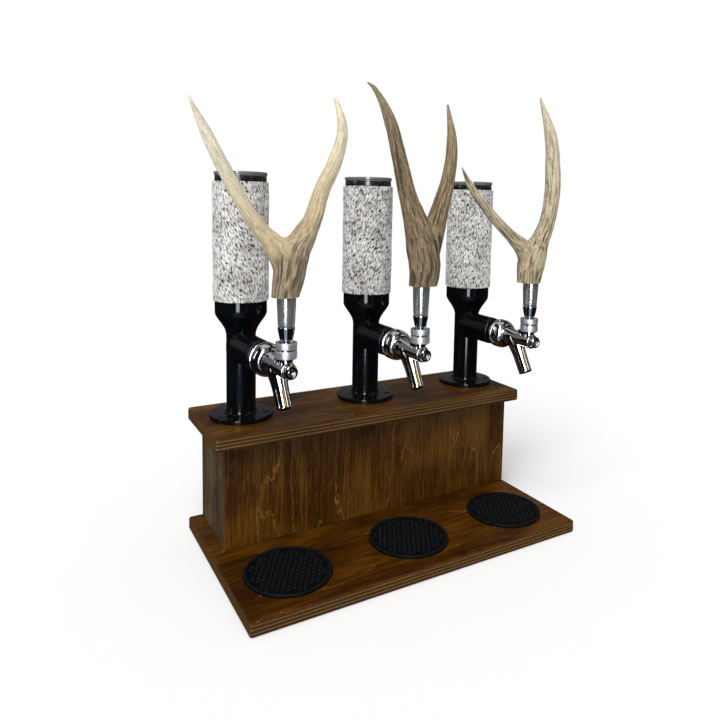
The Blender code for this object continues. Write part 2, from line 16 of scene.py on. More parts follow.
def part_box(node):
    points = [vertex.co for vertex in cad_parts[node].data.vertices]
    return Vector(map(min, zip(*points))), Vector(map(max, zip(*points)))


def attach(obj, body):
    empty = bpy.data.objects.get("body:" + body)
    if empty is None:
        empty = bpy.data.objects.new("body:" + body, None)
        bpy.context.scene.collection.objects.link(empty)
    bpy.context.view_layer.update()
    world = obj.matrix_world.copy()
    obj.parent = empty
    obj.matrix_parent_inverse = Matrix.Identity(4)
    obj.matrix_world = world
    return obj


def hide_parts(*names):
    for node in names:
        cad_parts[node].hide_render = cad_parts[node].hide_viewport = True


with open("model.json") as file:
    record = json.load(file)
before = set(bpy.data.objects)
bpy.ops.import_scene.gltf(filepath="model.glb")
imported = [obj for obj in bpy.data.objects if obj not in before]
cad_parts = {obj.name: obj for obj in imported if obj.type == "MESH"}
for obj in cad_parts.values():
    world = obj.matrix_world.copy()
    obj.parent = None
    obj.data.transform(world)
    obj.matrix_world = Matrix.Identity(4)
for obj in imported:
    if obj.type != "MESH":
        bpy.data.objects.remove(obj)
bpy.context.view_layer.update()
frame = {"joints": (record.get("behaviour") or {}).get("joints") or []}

SIDES = ("left", "middle", "right")
FORWARDS = Matrix.Rotation(math.radians(90), 4, "X")  # turns a piece's Z to the tower's -Y
ROUND = 96  # steps round a large turned piece
GAP = 0.0003
CUT, JOIN = "DIFFERENCE", "UNION"


# ---------------------------------------------------------------- places, read from the frame

def joint(name):
    return next(j for j in frame["joints"] if j["name"] == name)


def tower_matrix(side):
    """The tower's own frame: at its flange, on the top board, turned as its tap lever's axis is."""
    low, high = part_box("flange_" + side)
    axis = joint("tap_lever_" + side)["axis"]
    turn = Matrix.Rotation(math.atan2(axis[1], axis[0]), 4, "Z")
    return Matrix.Translation(((low.x + high.x) / 2, (low.y + high.y) / 2, STAND_TOP)) @ turn


def tower_box(part):
    """A part's box in the frame of the middle tower, which isn't turned: all three towers share its sizes."""
    low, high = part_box(part + "_middle")
    origin = TOWERS["middle"].translation
    return low - origin, high - origin


def radius_of(part):
    return tower_box(part)[1].x


def heights(part):
    """The heights of a part's bottom and top."""
    low, high = tower_box(part)
    return low.z, high.z


def depths(part):
    """How far a part's back and front are from the column's axis, the way the tap points."""
    low, high = tower_box(part)
    return -high.y, -low.y


STAND_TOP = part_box("top_board")[1].z
TOWERS = {side: tower_matrix(side) for side in SIDES}

FLANGE_RADIUS, COLLAR_TOP = radius_of("flange"), heights("flange")[1]
CUP_RADIUS = radius_of("tower_body")
COLUMN_FOOT, CUP_TOP = heights("tower_body")
BOSS_END = depths("tower_body")[1]
TUBE_RADIUS, TUBE_TOP = radius_of("reservoir_tube"), heights("reservoir_tube")[1]
HIDE_RADIUS = radius_of("hide_sleeve")
HIDE_BOTTOM, HIDE_TOP = heights("hide_sleeve")
BAND_RADIUS = radius_of("lid_stopper")
PLUG_BOTTOM, BAND_TOP = heights("lid_stopper")
LID_RADIUS = radius_of("lid_disc")
LID_BOTTOM, LID_TOP = heights("lid_disc")
TAP_HEIGHT = sum(heights("shank")) / 2
SHANK_BACK, SHANK_FRONT = depths("shank")
NUT_RADIUS = radius_of("coupling_nut")
NUT_BACK, NUT_FRONT = depths("coupling_nut")
BODY_BACK, GUIDE_FRONT = depths("faucet_body")
LEVER = sum(depths("bonnet")) / 2
PIVOT = joint("tap_lever_middle")["pos_m"][2] - STAND_TOP
BONNET_RADIUS = radius_of("bonnet")
BONNET_BOTTOM, BONNET_TOP = heights("bonnet")
FERRULE_BOTTOM = heights("ferrule")[0]
PLUNGER_BACK, PLUNGER_FRONT = depths("plunger")

# Sizes and places of the CAD model that its boxes don't tell
FLANGE = 0.0055
SCREW_CIRCLE, SCREW_ANGLES = 0.0307, tuple(math.radians(a) for a in (-35, 85, 205))
SCREW_HOLE, SCREW_HEAD, SCREW_STEM = 0.0025, 0.0038, 0.0021
COLUMN_RADIUS, COLUMN_WALL = 0.0178, 0.003
BOSS_RADIUS, BOSS_ROUNDING = 0.0188, 0.0080
FLARE_BOTTOM, FLARE_TOP = 0.1015, 0.1302
TUBE_WALL = 0.0022
SHANK_RADIUS, SHANK_BORE = 0.0110, 0.0078
SPOUT_ROOT, SPOUT_TIP = (0.1072, 0.0878), (0.1325, 0.0446)  # distance from the column's axis, and height
SEAT_RADIUS, SEAT_TOP = 0.0092, 0.1087
NECK_RADIUS, NECK_TOP = 0.0069, 0.1010
STUD_RADIUS, STUD_TOP = 0.0045, 0.1500
COLLAR_RADIUS, LEVER_COLLAR = 0.0092, (0.1206, 0.1350)
WASHER_RADIUS, WASHER = 0.0070, (0.0848, 0.0882)
COASTER_RECESS = 0.0013

# Antlers, with the same curves as the CAD model: the sawn foot's height in metres, and (x, y, height, radius)
# points in millimetres from the tap lever's axis. pale_tine makes the tine paler than the trunk, webbing is
# how far and how often the fork is eased, and relief is the depth of the furrows.
ANTLERS = {
    "left": {
        "foot": 0.1664,
        "trunk": (
            (-3, 0, 159, 13.8), (3, 0, 190, 17.2), (7, 0, 209, 17.6), (18.5, 0, 228, 13.6),
            (29, 0, 246, 10.1), (41, 2, 278, 8.8), (57, 4, 309, 8), (67, 7, 345, 6), (60, 12, 379, 1.8),
        ),
        "tine": (
            (3, 0, 193, 15), (-11, 0, 217.5, 13.7), (-26, 0, 233.5, 8.9), (-44, -2, 256.5, 7.5),
            (-69, -6, 298, 7.2), (-86.5, -9, 329.5, 5.4), (-104, -16, 360, 1.2),
        ),
        "burr": (),
        "pale_tine": 0.22,
        "webbing": (0.025, 260),
        "relief": 0.0011,
    },
    "middle": {
        "foot": 0.1697,
        "trunk": (
            (1, 0, 162, 16.4), (4, 0, 193, 19.5), (-1, 0, 214.5, 18.8), (-7.5, 0, 238, 15.8),
            (-20, 0, 270, 11), (-38, -3.5, 323, 8.4), (-50.5, -7, 355.5, 7), (-74, -12, 388.5, 2.8),
            (-84, -14, 394, 1),
        ),
        "tine": (
            (5, 0, 199, 15), (14.5, 0, 231, 14), (25.5, 0, 266, 10.4), (36, 1.5, 299.5, 8.3),
            (41, 4, 337, 6.8), (36.5, 9.5, 384.5, 1.6),
        ),
        "burr": ((8, 0, 195.5, 10), (18, 0, 196.5, 7), (24.5, 0, 197, 3)),
        "pale_tine": 0.0,
        "webbing": (0.015, 60),
        "relief": 0.0016,
    },
    "right": {
        "foot": 0.1664,
        "trunk": (
            (-4.5, 0, 159, 15), (-1, 0, 189, 18.8), (4, 0, 205.5, 18.2), (14.5, 0, 223.5, 12.2),
            (24.5, 0, 245.5, 10.6), (32.5, 1.5, 281, 10.9), (34, 4, 318, 10.4), (30.5, 7, 357, 8.5),
            (15, 14, 407.5, 1.6),
        ),
        "tine": (
            (-3, 0, 193, 15), (-14, 0, 210, 12.5), (-36.5, 0, 226.5, 7.6), (-58, 1, 244, 6.7),
            (-84.5, 4, 270.5, 5.6), (-100.5, 7, 290.5, 4.2), (-113, 8, 311.5, 1),
        ),
        "burr": (),
        "pale_tine": -0.05,
        "webbing": (0.020, 160),
        "relief": 0.0013,
    },
}
ANTLER_DEPTH = 0.88  # an antler's thickness from front to back, as a share of its width


# ---------------------------------------------------------------- camera, floor and light

def new_object(name, data):
    made = bpy.data.objects.new(name, data)
    bpy.context.scene.collection.objects.link(made)
    return made


def build_camera():
    """The photograph's view: its place, turn and framing were solved from the stand's edges."""
    data = bpy.data.cameras.new("camera")
    data.sensor_width = 36
    data.lens = 32.31
    data.shift_x = -0.0431
    data.shift_y = -0.130
    data.clip_start = 0.01
    camera = new_object("camera", data)
    yaw, pitch, roll = (math.radians(a) for a in (30.705, -5.463, 1.160))
    ahead = Vector((math.sin(yaw) * math.cos(pitch), math.cos(yaw) * math.cos(pitch), math.sin(pitch)))
    level = Vector((math.cos(yaw), -math.sin(yaw), 0))
    upright = level.cross(ahead)
    right = level * math.cos(roll) + upright * math.sin(roll)
    up = upright * math.cos(roll) - level * math.sin(roll)
    turn = Matrix((right, up, -ahead)).transposed().to_4x4()
    camera.matrix_world = Matrix.Translation((-0.41564, -0.70831, 0.43056)) @ turn
    bpy.context.scene.camera = camera


def build_floor():
    """A wide pale floor. Polished pieces mirror the room and not the floor, which keeps their contrast."""
    bm = bmesh.new()
    bmesh.ops.create_grid(bm, x_segments=1, y_segments=1, size=60)
    floor = new_object("floor", mesh_of(bm, "floor"))
    paint = Paint("pale_floor").finish((0.90, 0.90, 0.90), 1.0, {"Specular IOR Level": 0.0})
    floor.data.materials.append(paint)
    floor.visible_glossy = False


# What polished surfaces mirror, as patches of the room: the middle azimuth, half the width, the lowest and
# highest elevation and the softness of its edge, all in degrees, and its colour
ROOM = (
    (-121, 7, -13, 62, 3, (12.0, 12.2, 12.6)),  # tall window behind the camera
    (-121, 22, -46, -14, 10, (0.24, 0.32, 0.47)),  # the window's glow on the ground
    (60, 85, 1, 40, 14, (0.15, 0.15, 0.155)),  # wall behind the tower
    (60, 170, 66, 100, 10, (0.55, 0.55, 0.56)),  # ceiling
    (-48, 5, 16, 42, 3, (2.4, 2.2, 1.9)),  # right lamp
    (170, 6, 6, 46, 3, (2.2, 2.3, 2.5)),  # left lamp
    (-82, 11, 24, 50, 7, (0.65, 0.42, 0.11)),  # warm lamp
)
ROOM_SHADE = (0.006, 0.006, 0.007)


def room_patch(n, parts, azimuth, half_width, low, high, softness, colour):
    """The patch's colour where a direction falls inside it, else black."""
    cos, sin = math.cos(math.radians(azimuth)), math.sin(math.radians(azimuth))
    half_width, low, high, edge = (math.radians(a) for a in (half_width, low, high, softness / 2))
    ahead = n.plus(n.times(parts[0], cos), n.times(parts[1], sin))
    aside = n.minus(n.times(parts[1], cos), n.times(parts[0], sin))
    off = n.calc("ABSOLUTE", n.calc("ARCTAN2", aside, ahead))
    rise = n.calc("ARCSINE", parts[2])
    across = n.smooth_step(off, half_width + edge, half_width - edge)
    above = n.smooth_step(rise, low - edge, low + edge)
    below = n.smooth_step(rise, high + edge, high - edge)
    return n.mix(n.times(n.times(above, below), across), (0.0, 0.0, 0.0), colour)


def build_light():
    """A broad soft sun from over the camera's shoulder, an even sky, and the room that gloss mirrors."""
    scene = bpy.context.scene
    scene.view_settings.view_transform = "Standard"
    world = bpy.data.worlds.new("studio")
    world.use_nodes = True
    world.cycles.sampling_method = "NONE"
    n = Nodes(world.node_tree)
    parts = n.xyz(n.add("TexCoord").outputs["Generated"])
    room = ROOM_SHADE
    for patch in ROOM:
        room = n.mix(1.0, room_patch(n, parts, *patch), room, "ADD")
    mirrored = world.node_tree.nodes["Background"]
    n.feed(mirrored.inputs["Color"], room)
    sky = n.add("Background", [("Color", (1, 1, 1)), ("Strength", 0.35)])
    backdrop = n.add("Background", [("Color", (1, 1, 1)), ("Strength", 1.0)])
    path = n.add("LightPath").outputs
    lit = n.add("MixShader", [(0, path["Is Glossy Ray"]), (1, sky.outputs[0]), (2, mirrored.outputs[0])])
    seen = n.add("MixShader", [(0, path["Is Camera Ray"]), (1, lit.outputs[0]), (2, backdrop.outputs[0])])
    n.feed(world.node_tree.nodes["World Output"].inputs[0], seen.outputs[0])
    scene.world = world
    data = bpy.data.lights.new("soft sun", "SUN")
    data.energy = 3.1
    data.angle = math.radians(45)
    sun = new_object("soft sun", data)
    sun.rotation_euler = (math.radians(38), 0, math.radians(-42))
    sun.visible_glossy = False


# ---------------------------------------------------------------- shader building blocks

class Nodes:
    """A node tree, with short names for the nodes that surfaces are made of."""

    def __init__(self, tree):
        self.tree = tree

    def feed(self, socket, value):
        """Links an output to a socket, or sets the socket's own number or colour."""
        if isinstance(value, bpy.types.NodeSocket):
            self.tree.links.new(value, socket)
        else:
            socket.default_value = (*value, 1) if isinstance(value, tuple) else value

    def add(self, kind, inputs=(), **settings):
        """A node with its settings, and inputs given as (socket, value or output) pairs."""
        node = self.tree.nodes.new("ShaderNode" + kind)
        for key, value in settings.items():
            setattr(node, key, value)
        for key, value in inputs:
            self.feed(node.inputs[key], value)
        return node

    def calc(self, operation, *values):
        return self.add("Math", enumerate(values), operation=operation).outputs[0]

    def plus(self, first, second):
        return self.calc("ADD", first, second)

    def minus(self, first, second):
        return self.calc("SUBTRACT", first, second)

    def times(self, first, second):
        return self.calc("MULTIPLY", first, second)

    def times_plus(self, first, second, third):
        return self.calc("MULTIPLY_ADD", first, second, third)

    def smooth_step(self, value, low, high):
        inputs = [(0, value), (1, low), (2, high)]
        return self.add("MapRange", inputs, interpolation_type="SMOOTHSTEP").outputs[0]

    def xyz(self, vector):
        return list(self.add("SeparateXYZ", [("Vector", vector)]).outputs)

    def noise(self, place, scale, detail=3.0, roughness=0.5, distortion=0.0):
        """Noise over a vector at one scale, or over three parts with a scale for each."""
        if isinstance(scale, tuple):
            parts = [self.times(part, own) for part, own in zip(place, scale)]
            place = self.add("CombineXYZ", enumerate(parts)).outputs[0]
            scale = 1.0
        inputs = [("Vector", place), ("Scale", scale), ("Detail", detail), ("Roughness", roughness)]
        return self.add("TexNoise", inputs + [("Distortion", distortion)]).outputs[0]

    def ramp(self, factor, *stops):
        """A ramp of greys or colours through (position, value) stops."""
        node = self.add("ValToRGB", [("Fac", factor)])
        elements = node.color_ramp.elements
        while len(elements) < len(stops):
            elements.new(0.5)
        for element, (position, value) in zip(elements, stops):
            element.position = position
            element.color = (*value, 1) if isinstance(value, tuple) else (value, value, value, 1)
        return node.outputs[0]

    def mix(self, factor, first, second, blend="MIX"):
        inputs = [(0, factor), (6, first), (7, second)]
        return self.add("Mix", inputs, data_type="RGBA", blend_type=blend).outputs[2]


class Paint(Nodes):
    """A material and its node tree."""

    def __init__(self, name):
        self.material = bpy.data.materials.new(name)
        self.material.use_nodes = True
        super().__init__(self.material.node_tree)

    def place(self):
        """The piece's own coordinates, as a vector."""
        return self.add("TexCoord").outputs["Object"]

    def stored(self, name):
        """The three parts of a vector stored on the piece's points."""
        node = self.add("Attribute", attribute_type="GEOMETRY", attribute_name=name)
        return self.xyz(node.outputs["Vector"])

    def finish(self, colour, roughness, values=(), height=None, depth=0.0):
        """Feeds the shader, with its bump's height and depth, and gives back the material."""
        shader = self.tree.nodes["Principled BSDF"]
        for key, value in {"Base Color": colour, "Roughness": roughness, **dict(values)}.items():
            self.feed(shader.inputs[key], value)
        if height:
            bump = self.add("Bump", [("Height", height), ("Distance", depth), ("Strength", 1.0)])
            self.feed(shader.inputs["Normal"], bump.outputs[0])
        return self.material


# ---------------------------------------------------------------- materials

def veneer_figure(m, along, across, bent, deep):
    """The pale jagged lines of rotary-cut birch, in patches."""
    zigzag = m.noise((along, across, deep), (120, 280, 40), 2)
    field = m.noise((along, bent, deep), (3.2, 16, 3), 1.5, 0.45)
    rings = m.calc("FRACT", m.times(m.times_plus(zigzag, 0.034, field), 7))
    line = m.ramp(m.calc("ABSOLUTE", m.minus(rings, 0.5)), (0.0, 1.0), (0.022, 0.0))
    shown = m.ramp(m.noise((along, across, deep), (11, 13, 9), 2), (0.40, 0.0), (0.52, 1.0))
    return m.times(m.times(line, shown), 0.78)


def ply_edge(m, along, across, deep, depth, plies):
    """Light and dark plies, with dark glue lines and rough end grain. depth runs from 0 to 1 across them."""
    wave = m.noise((along, across, deep), (9, 9, 60), 4, 0.6)
    layers = m.times(m.times_plus(wave, 0.08, depth), plies)
    ply = m.calc("PINGPONG", m.minus(layers, 0.25 + 0.04 * plies), 1.0)
    speck = m.noise(m.place(), 900, 2)
    strand = m.noise((along, across, deep), (30, 30, 2400))
    glue = m.ramp(ply, (0.30, (0.170, 0.088, 0.026)), (0.44, (0.016, 0.0045, 0.0006)),
                  (0.56, (0.014, 0.0040, 0.0005)), (0.74, (0.058, 0.026, 0.006)))
    edge = m.mix(0.55, glue, m.ramp(speck, (0.35, 0.45), (0.65, 1.25)), "MULTIPLY")
    return m.mix(0.5, edge, m.ramp(strand, (0.35, 0.6), (0.65, 1.5)), "MULTIPLY")


def plywood(name, thick, grain, low, high, tone, plies, seed):
    """Stained birch plywood: veneer on its faces, and plies round its edges.

    thick and grain are the axes (0 to 2) across the board and along the veneer's grain, low and high are the
    places of the two faces on the first, and tone is the stain's dark, middle and light colour."""
    m = Paint(name)
    parts = m.xyz(m.place())
    g, c, t = parts[grain], parts[3 - thick - grain], parts[thick]
    shifted = m.plus(c, seed)
    bent = m.times_plus(m.noise((g, shifted, t), (9, 22, 9), 2), 0.010, shifted)
    veneer = (g, bent, t)
    band = m.noise(veneer, (2.2, 34, 3))
    streak = m.noise(veneer, (16, 520, 20), 4, 0.66)
    pore = m.noise(veneer, (110, 1000, 60), 2)
    dash = m.ramp(m.noise(veneer, (75, 1350, 90), 2), (0.54, 0.0), (0.70, 0.34))
    cloud = m.noise((g, shifted, t), (8, 12, 7), distortion=0.8)
    tint = m.plus(m.times(streak, 0.60), m.times(pore, 0.26))
    tint = m.times_plus(band, 0.30, tint)
    tint = m.times_plus(cloud, 0.50, tint)
    dark, mid, light = tone
    face = m.ramp(tint, (0.725, dark), (0.83, mid), (0.935, light))
    face = m.mix(dash, face, tuple(1.9 * v + 0.004 for v in light))
    figure = veneer_figure(m, g, shifted, bent, t)
    face = m.mix(figure, face, tuple(2.6 * v + 0.02 for v in light))

    depth = m.calc("DIVIDE", m.minus(t, low), high - low)
    edge = ply_edge(m, g, c, t, depth, plies)
    from_middle = m.calc("ABSOLUTE", m.minus(depth, 0.5))
    skin = m.ramp(from_middle, (0.425, 0.0), (0.450, 1.0))
    gloss = {"Coat Weight": 0.04, "Coat Roughness": 0.25, "Specular IOR Level": 0.22}
    height = m.times_plus(figure, 0.5, m.plus(streak, pore))
    rough = m.ramp(tint, (0.65, 0.50), (1.0, 0.33))
    return m.finish(m.mix(skin, edge, face), rough, gloss, height, 0.00012)


def black_gloss():
    """Thick black paint with a little dust and swell in it."""
    m = Paint("gloss_black_paint")
    place = m.place()
    rough = m.ramp(m.noise(place, 260), (0.3, 0.05), (0.75, 0.11))
    shade = m.ramp(m.noise(place, 40), (0.3, (0.0018, 0.0022, 0.0030)), (0.7, (0.0034, 0.0038, 0.0046)))
    return m.finish(shade, rough, {"Specular IOR Level": 0.32}, m.noise(place, 420, 2), 0.00003)


def chrome():
    """Polished chrome with faint smears."""
    m = Paint("polished_chrome")
    place = m.place()
    rough = m.ramp(m.noise(place, 90, 4, distortion=0.6), (0.35, 0.035), (0.75, 0.11))
    tint = m.ramp(m.noise(place, 35), (0.3, (0.70, 0.69, 0.67)), (0.7, (0.80, 0.80, 0.81)))
    return m.finish(tint, rough, {"Metallic": 1.0}, m.noise(place, 130, 2), 0.00010)


def satin_bands():
    """Chrome whose fluted bands are matted: smooth only towards its axis, where its edges and groove are."""
    m = Paint("satin_banded_chrome")
    x, y, z = m.xyz(m.place())
    out = m.calc("SQRT", m.plus(m.times(x, x), m.times(y, y)))
    band = m.smooth_step(out, BONNET_RADIUS - 0.0006, BONNET_RADIUS - 0.0003)
    grain = m.noise((x, y, z), (900, 900, 2600), 2)
    rough = m.plus(m.times(band, m.times_plus(grain, 0.20, 0.24)), 0.06)
    tint = m.ramp(grain, (0.3, (0.70, 0.69, 0.74)), (0.7, (0.86, 0.85, 0.91)))
    return m.finish(tint, rough, {"Metallic": m.times_plus(band, -0.16, 1.0)}, grain, 0.00004)


def satin_chrome():
    """Chrome that was left a little dull, with fine marks round it."""
    m = Paint("satin_chrome")
    place = m.place()
    marks = m.noise(m.xyz(place), (60, 60, 3200))
    haze = m.noise(place, 180)
    rough = m.times_plus(marks, 0.10, m.times(haze, 0.30))
    tint = m.ramp(haze, (0.3, (0.66, 0.67, 0.67)), (0.7, (0.78, 0.79, 0.80)))
    return m.finish(tint, rough, {"Metallic": 0.86}, marks, 0.00002)


def brown_spot(m, stroke, colour, around, up, width, height):
    """The hide's colour with one ragged brown oval over it. around and up are places from its middle."""
    off = m.calc("DIVIDE", around, width)
    above = m.calc("DIVIDE", up, height)
    reach = m.plus(m.times(off, off), m.times(above, above))
    share = m.ramp(m.times_plus(stroke, 0.8, reach), (0.88, 0.95), (1.0, 0.0))
    return m.mix(share, colour, (0.075, 0.040, 0.012))


def cowhide(name, lean, dark_share, brown, seed, spot=None):
    """Short hair: white and grey locks that lie along a lean, with dark brown strokes in loose clusters.

    spot is a brown spot's distance round the hide from its seam, its height and its half sizes."""
    m = Paint(name)
    around, up, radial = m.stored("hide_place")
    around = m.plus(around, seed)
    curl = m.noise((around, up, radial), (26, 22, 0), 2)
    laid = (m.times_plus(curl, 0.007, m.times_plus(up, lean, around)), up, radial)
    flat = (around, up, radial)
    hair = m.noise(laid, (1700, 420, 0), 3, 0.6)
    lock = m.noise(laid, (640, 170, 0), 2, 0.55)
    stroke = m.noise(laid, (500, 190, 9), 1.5)
    tick = m.noise(laid, (760, 230, 23), 1.5)
    patch = m.noise(flat, (48, 32, 0))
    cluster = m.noise(flat, (190, 120, 0), 2)
    base = m.ramp(lock, (0.35, (0.36, 0.35, 0.345)), (0.47, (0.70, 0.69, 0.675)), (0.58, (0.97, 0.96, 0.95)))
    base = m.mix(0.75, base, m.ramp(hair, (0.32, 0.45), (0.62, 1.15)), "MULTIPLY")
    grey = m.ramp(patch, (0.42, 0.0), (0.66, 0.45))
    base = m.mix(grey, base, m.mix(1.0, base, (0.50, 0.49, 0.475), "MULTIPLY"))
    crowd = m.times_plus(cluster, 0.30, m.times(patch, 0.14))
    ticks = m.ramp(m.plus(tick, crowd), (0.78 - dark_share, 0.0), (0.86 - dark_share, 0.60))
    base = m.mix(ticks, base, (0.085, 0.076, 0.072))
    edge = 0.825 - dark_share
    strokes = m.ramp(m.plus(stroke, crowd), (edge, 0.0), (edge + 0.045, 1.0))
    tone = m.ramp(cluster, (0.55, (0.011, 0.009, 0.009)), (0.75, brown))
    colour = m.mix(m.times(strokes, 0.95), base, tone)
    if spot:
        turn, height, *sizes = spot
        colour = brown_spot(m, stroke, colour, m.minus(around, turn + seed), m.minus(up, height), *sizes)
    sheen = {"Specular IOR Level": 0.28, "Sheen Weight": 0.25, "Sheen Roughness": 0.45}
    return m.finish(colour, 0.72, sheen, m.times_plus(lock, 0.8, hair), 0.00045)


def antler_skin(name, base, tip, pale, furrow, ages, scored):
    """Bone that runs from a browner foot to a paler tip, with dark furrows and pores along the beams.

    ages are the ages, 0 at the foot and 1 at the tips, where base turns to tip and where furrows fade, and
    scored is how dark the long grooves are."""
    m = Paint(name)
    whole, relief, age = m.stored("antler_place")
    ahead, aside, along = m.stored("antler_lines")
    place = m.place()
    blotch = m.noise(place, 55, 4)
    fleck = m.noise(place, 620, 3, 0.65)
    ripened = m.times_plus(m.minus(blotch, 0.5), 0.35, age)
    tip_start, tip_end, smooth_start, smooth_end = ages
    colour = m.ramp(ripened, (tip_start, base), (tip_end, tip), (1.0, pale))
    fading = m.ramp(age, (smooth_start, 0.95), (smooth_end, 0.15))
    sunk = m.times(m.ramp(relief, (0.24, 1.0), (0.58, 0.0)), fading)
    colour = m.mix(sunk, colour, furrow)
    lines = (m.times_plus(m.noise(place, 120, 2), 0.004, ahead), aside, along)
    strands = m.noise(lines, (980, 980, 52), 3, 0.65)
    lined = m.mix(1.0, colour, m.ramp(strands, (0.38, 0.36), (0.50, 1.0), (0.62, 1.42)), "MULTIPLY")
    colour = m.mix(m.times(m.times_plus(fading, 0.6, 0.4), whole), colour, lined)
    groove = m.ramp(m.noise(lines, (640, 640, 40), 3, 0.6), (0.37, 1.0), (0.45, 0.0))
    groove = m.times(m.times(groove, whole), fading)
    colour = m.mix(m.times(groove, scored), colour, furrow)
    raised = m.ramp(relief, (0.60, 0.0), (0.90, 0.40))
    colour = m.mix(raised, colour, tuple(min(1.0, 1.35 * v) for v in tip))
    colour = m.mix(0.45, colour, m.ramp(fleck, (0.32, 0.55), (0.55, 1.05)), "MULTIPLY")
    rough = m.ramp(relief, (0.3, 0.68), (0.8, 0.46))
    height = m.times_plus(groove, -0.6, m.times_plus(fleck, 0.4, strands))
    return m.finish(colour, rough, {"Specular IOR Level": 0.4}, height, 0.0006)


def silicone(recess, top):
    """Black silicone, with a painted highlight that makes what stands proud of the mat's recess a little
    greyer, and the recess left darker as painted shade.
    """
    m = Paint("black_silicone")
    place = m.place()
    haze = m.noise(place, 170)
    # Painted light: the recess floor is darker as painted shade, and what stands proud of it is greyer as a
    # painted highlight
    dull = m.ramp(haze, (0.3, (0.0009, 0.0013, 0.0017)), (0.7, (0.0018, 0.0023, 0.0028)))
    lit_top_tone = m.ramp(haze, (0.3, (0.0030, 0.0040, 0.0048)), (0.7, (0.0066, 0.0080, 0.0090)))
    colour = m.mix(m.smooth_step(m.xyz(place)[2], recess, top), dull, lit_top_tone)
    rough = m.ramp(haze, (0.3, 0.55), (0.7, 0.70))
    return m.finish(colour, rough, {"Specular IOR Level": 0.10}, m.noise(place, 1400, 2), 0.00004)


def moulded(name, dark, light, rough, coat):
    """A moulded plastic or rubber with a faint mottle and a fine surface."""
    m = Paint(name)
    place = m.place()
    mottle = m.noise(place, 60)
    gloss = {"Coat Weight": coat, "Coat Roughness": 0.05}
    colour = m.ramp(mottle, (0.3, dark), (0.7, light))
    rough = m.ramp(mottle, (0.3, rough), (0.7, rough + 0.08))
    return m.finish(colour, rough, gloss, m.noise(place, 700, 2), 0.00003)


# ---------------------------------------------------------------- mesh building blocks

def mesh_of(bm, name):
    mesh = bpy.data.meshes.new(name)
    bm.to_mesh(mesh)
    bm.free()
    return mesh


def finished(bm, name, crease=35):
    """A mesh from bm, shaded smooth except over edges sharper than crease degrees."""
    bmesh.ops.recalc_face_normals(bm, faces=bm.faces)
    mesh = mesh_of(bm, name)
    mesh.shade_smooth()
    mesh.set_sharp_from_angle(angle=math.radians(crease))
    return mesh


def rounded(corners, steps=4):
    """A profile through (radius, height, rounding) corners, each one eased over its rounding."""
    points = []
    for i, (r, z, reach) in enumerate(corners):
        here = Vector((r, z))
        if reach <= 0 or i in (0, len(corners) - 1):
            points.append((r, z))
            continue
        to_last = Vector(corners[i - 1][:2]) - here
        to_next = Vector(corners[i + 1][:2]) - here
        reach = min(reach, to_last.length * 0.48, to_next.length * 0.48)
        start, end = here + to_last.normalized() * reach, here + to_next.normalized() * reach
        for k in range(steps + 1):
            t = k / steps
            points.append(tuple((1 - t) ** 2 * start + 2 * t * (1 - t) * here + t * t * end))
    return points


def ring_of(bm, radius, z, steps):
    angles = [math.tau * k / steps for k in range(steps)]
    return [bm.verts.new((radius * math.cos(a), radius * math.sin(a), z)) for a in angles]


def revolved(profile, steps=ROUND, closed=False):
    """A mesh of (radius, height) points turned about Z."""
    bm = bmesh.new()
    rings = []
    for radius, z in profile:
        rings.append([bm.verts.new((0, 0, z))] if radius < 1e-6 else ring_of(bm, radius, z, steps))
    pairs = list(zip(rings, rings[1:]))
    if closed:
        pairs.append((rings[-1], rings[0]))
    for first, second in pairs:
        for k in range(steps):
            turns = ((first, 0), (first, 1), (second, 1), (second, 0))
            corners = [ring[(k + j) % len(ring)] for ring, j in turns]
            bm.faces.new(list(dict.fromkeys(corners)))
    return finished(bm, "turned")


def turned(corners, steps=ROUND, easing=4, closed=False):
    return revolved(rounded(corners, easing), steps, closed)


def cylinder(radius, low, high, steps=32, top=None):
    return revolved([(0, high), (radius if top is None else top, high), (radius, low), (0, low)], steps)


def block(*size):
    """A box about the origin."""
    bm = bmesh.new()
    bmesh.ops.create_cube(bm, size=1, matrix=Matrix.Diagonal((*size, 1)))
    return finished(bm, "block")


def at(x, y, z):
    return Matrix.Translation((x, y, z))


def on_circle(radius, angle, z=0):
    return at(radius * math.cos(angle), radius * math.sin(angle), z)


def piece(name, mesh, material, matrix, body, slot, *nodes):
    """A visible piece in its place, riding its body and standing for CAD nodes."""
    made = new_object(name, mesh)
    made.matrix_world = matrix
    mesh.materials.clear()
    mesh.materials.append(material)
    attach(made, body)
    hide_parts(*nodes)


def settle(made):
    """Applies an object's modifiers and removes it, and gives back its mesh."""
    bpy.context.view_layer.update()
    mesh = bpy.data.meshes.new_from_object(made.evaluated_get(bpy.context.evaluated_depsgraph_get()))
    bpy.data.objects.remove(made)
    return mesh


def shaped(mesh, *changes):
    """The mesh after Booleans: each change is (operation, other mesh, its matrix)."""
    made = new_object("shape", mesh)
    others = []
    for operation, other, matrix in changes:
        helper = new_object("helper", other)
        helper.matrix_world = matrix
        others.append(helper)
        change = made.modifiers.new("change", "BOOLEAN")
        change.operation = operation
        change.solver = "EXACT"
        change.object = helper
    result = settle(made)
    for helper in others:
        bpy.data.objects.remove(helper)
    result.shade_smooth()
    result.set_sharp_from_angle(angle=math.radians(32))
    return result


# ---------------------------------------------------------------- stand and coasters

def board_mesh(low, high, rounding):
    """A board between two corners, with its edges rounded."""
    bm = bmesh.new()
    centre = Matrix.Translation((low + high) / 2)
    bmesh.ops.create_cube(bm, size=1, matrix=centre @ Matrix.Diagonal((*(high - low), 1)))
    made = new_object("board", mesh_of(bm, "board"))
    made.data.shade_smooth()
    bevel = made.modifiers.new("rounded", "BEVEL")
    bevel.width = rounding
    bevel.segments = 5
    bevel.harden_normals = True
    return settle(made)


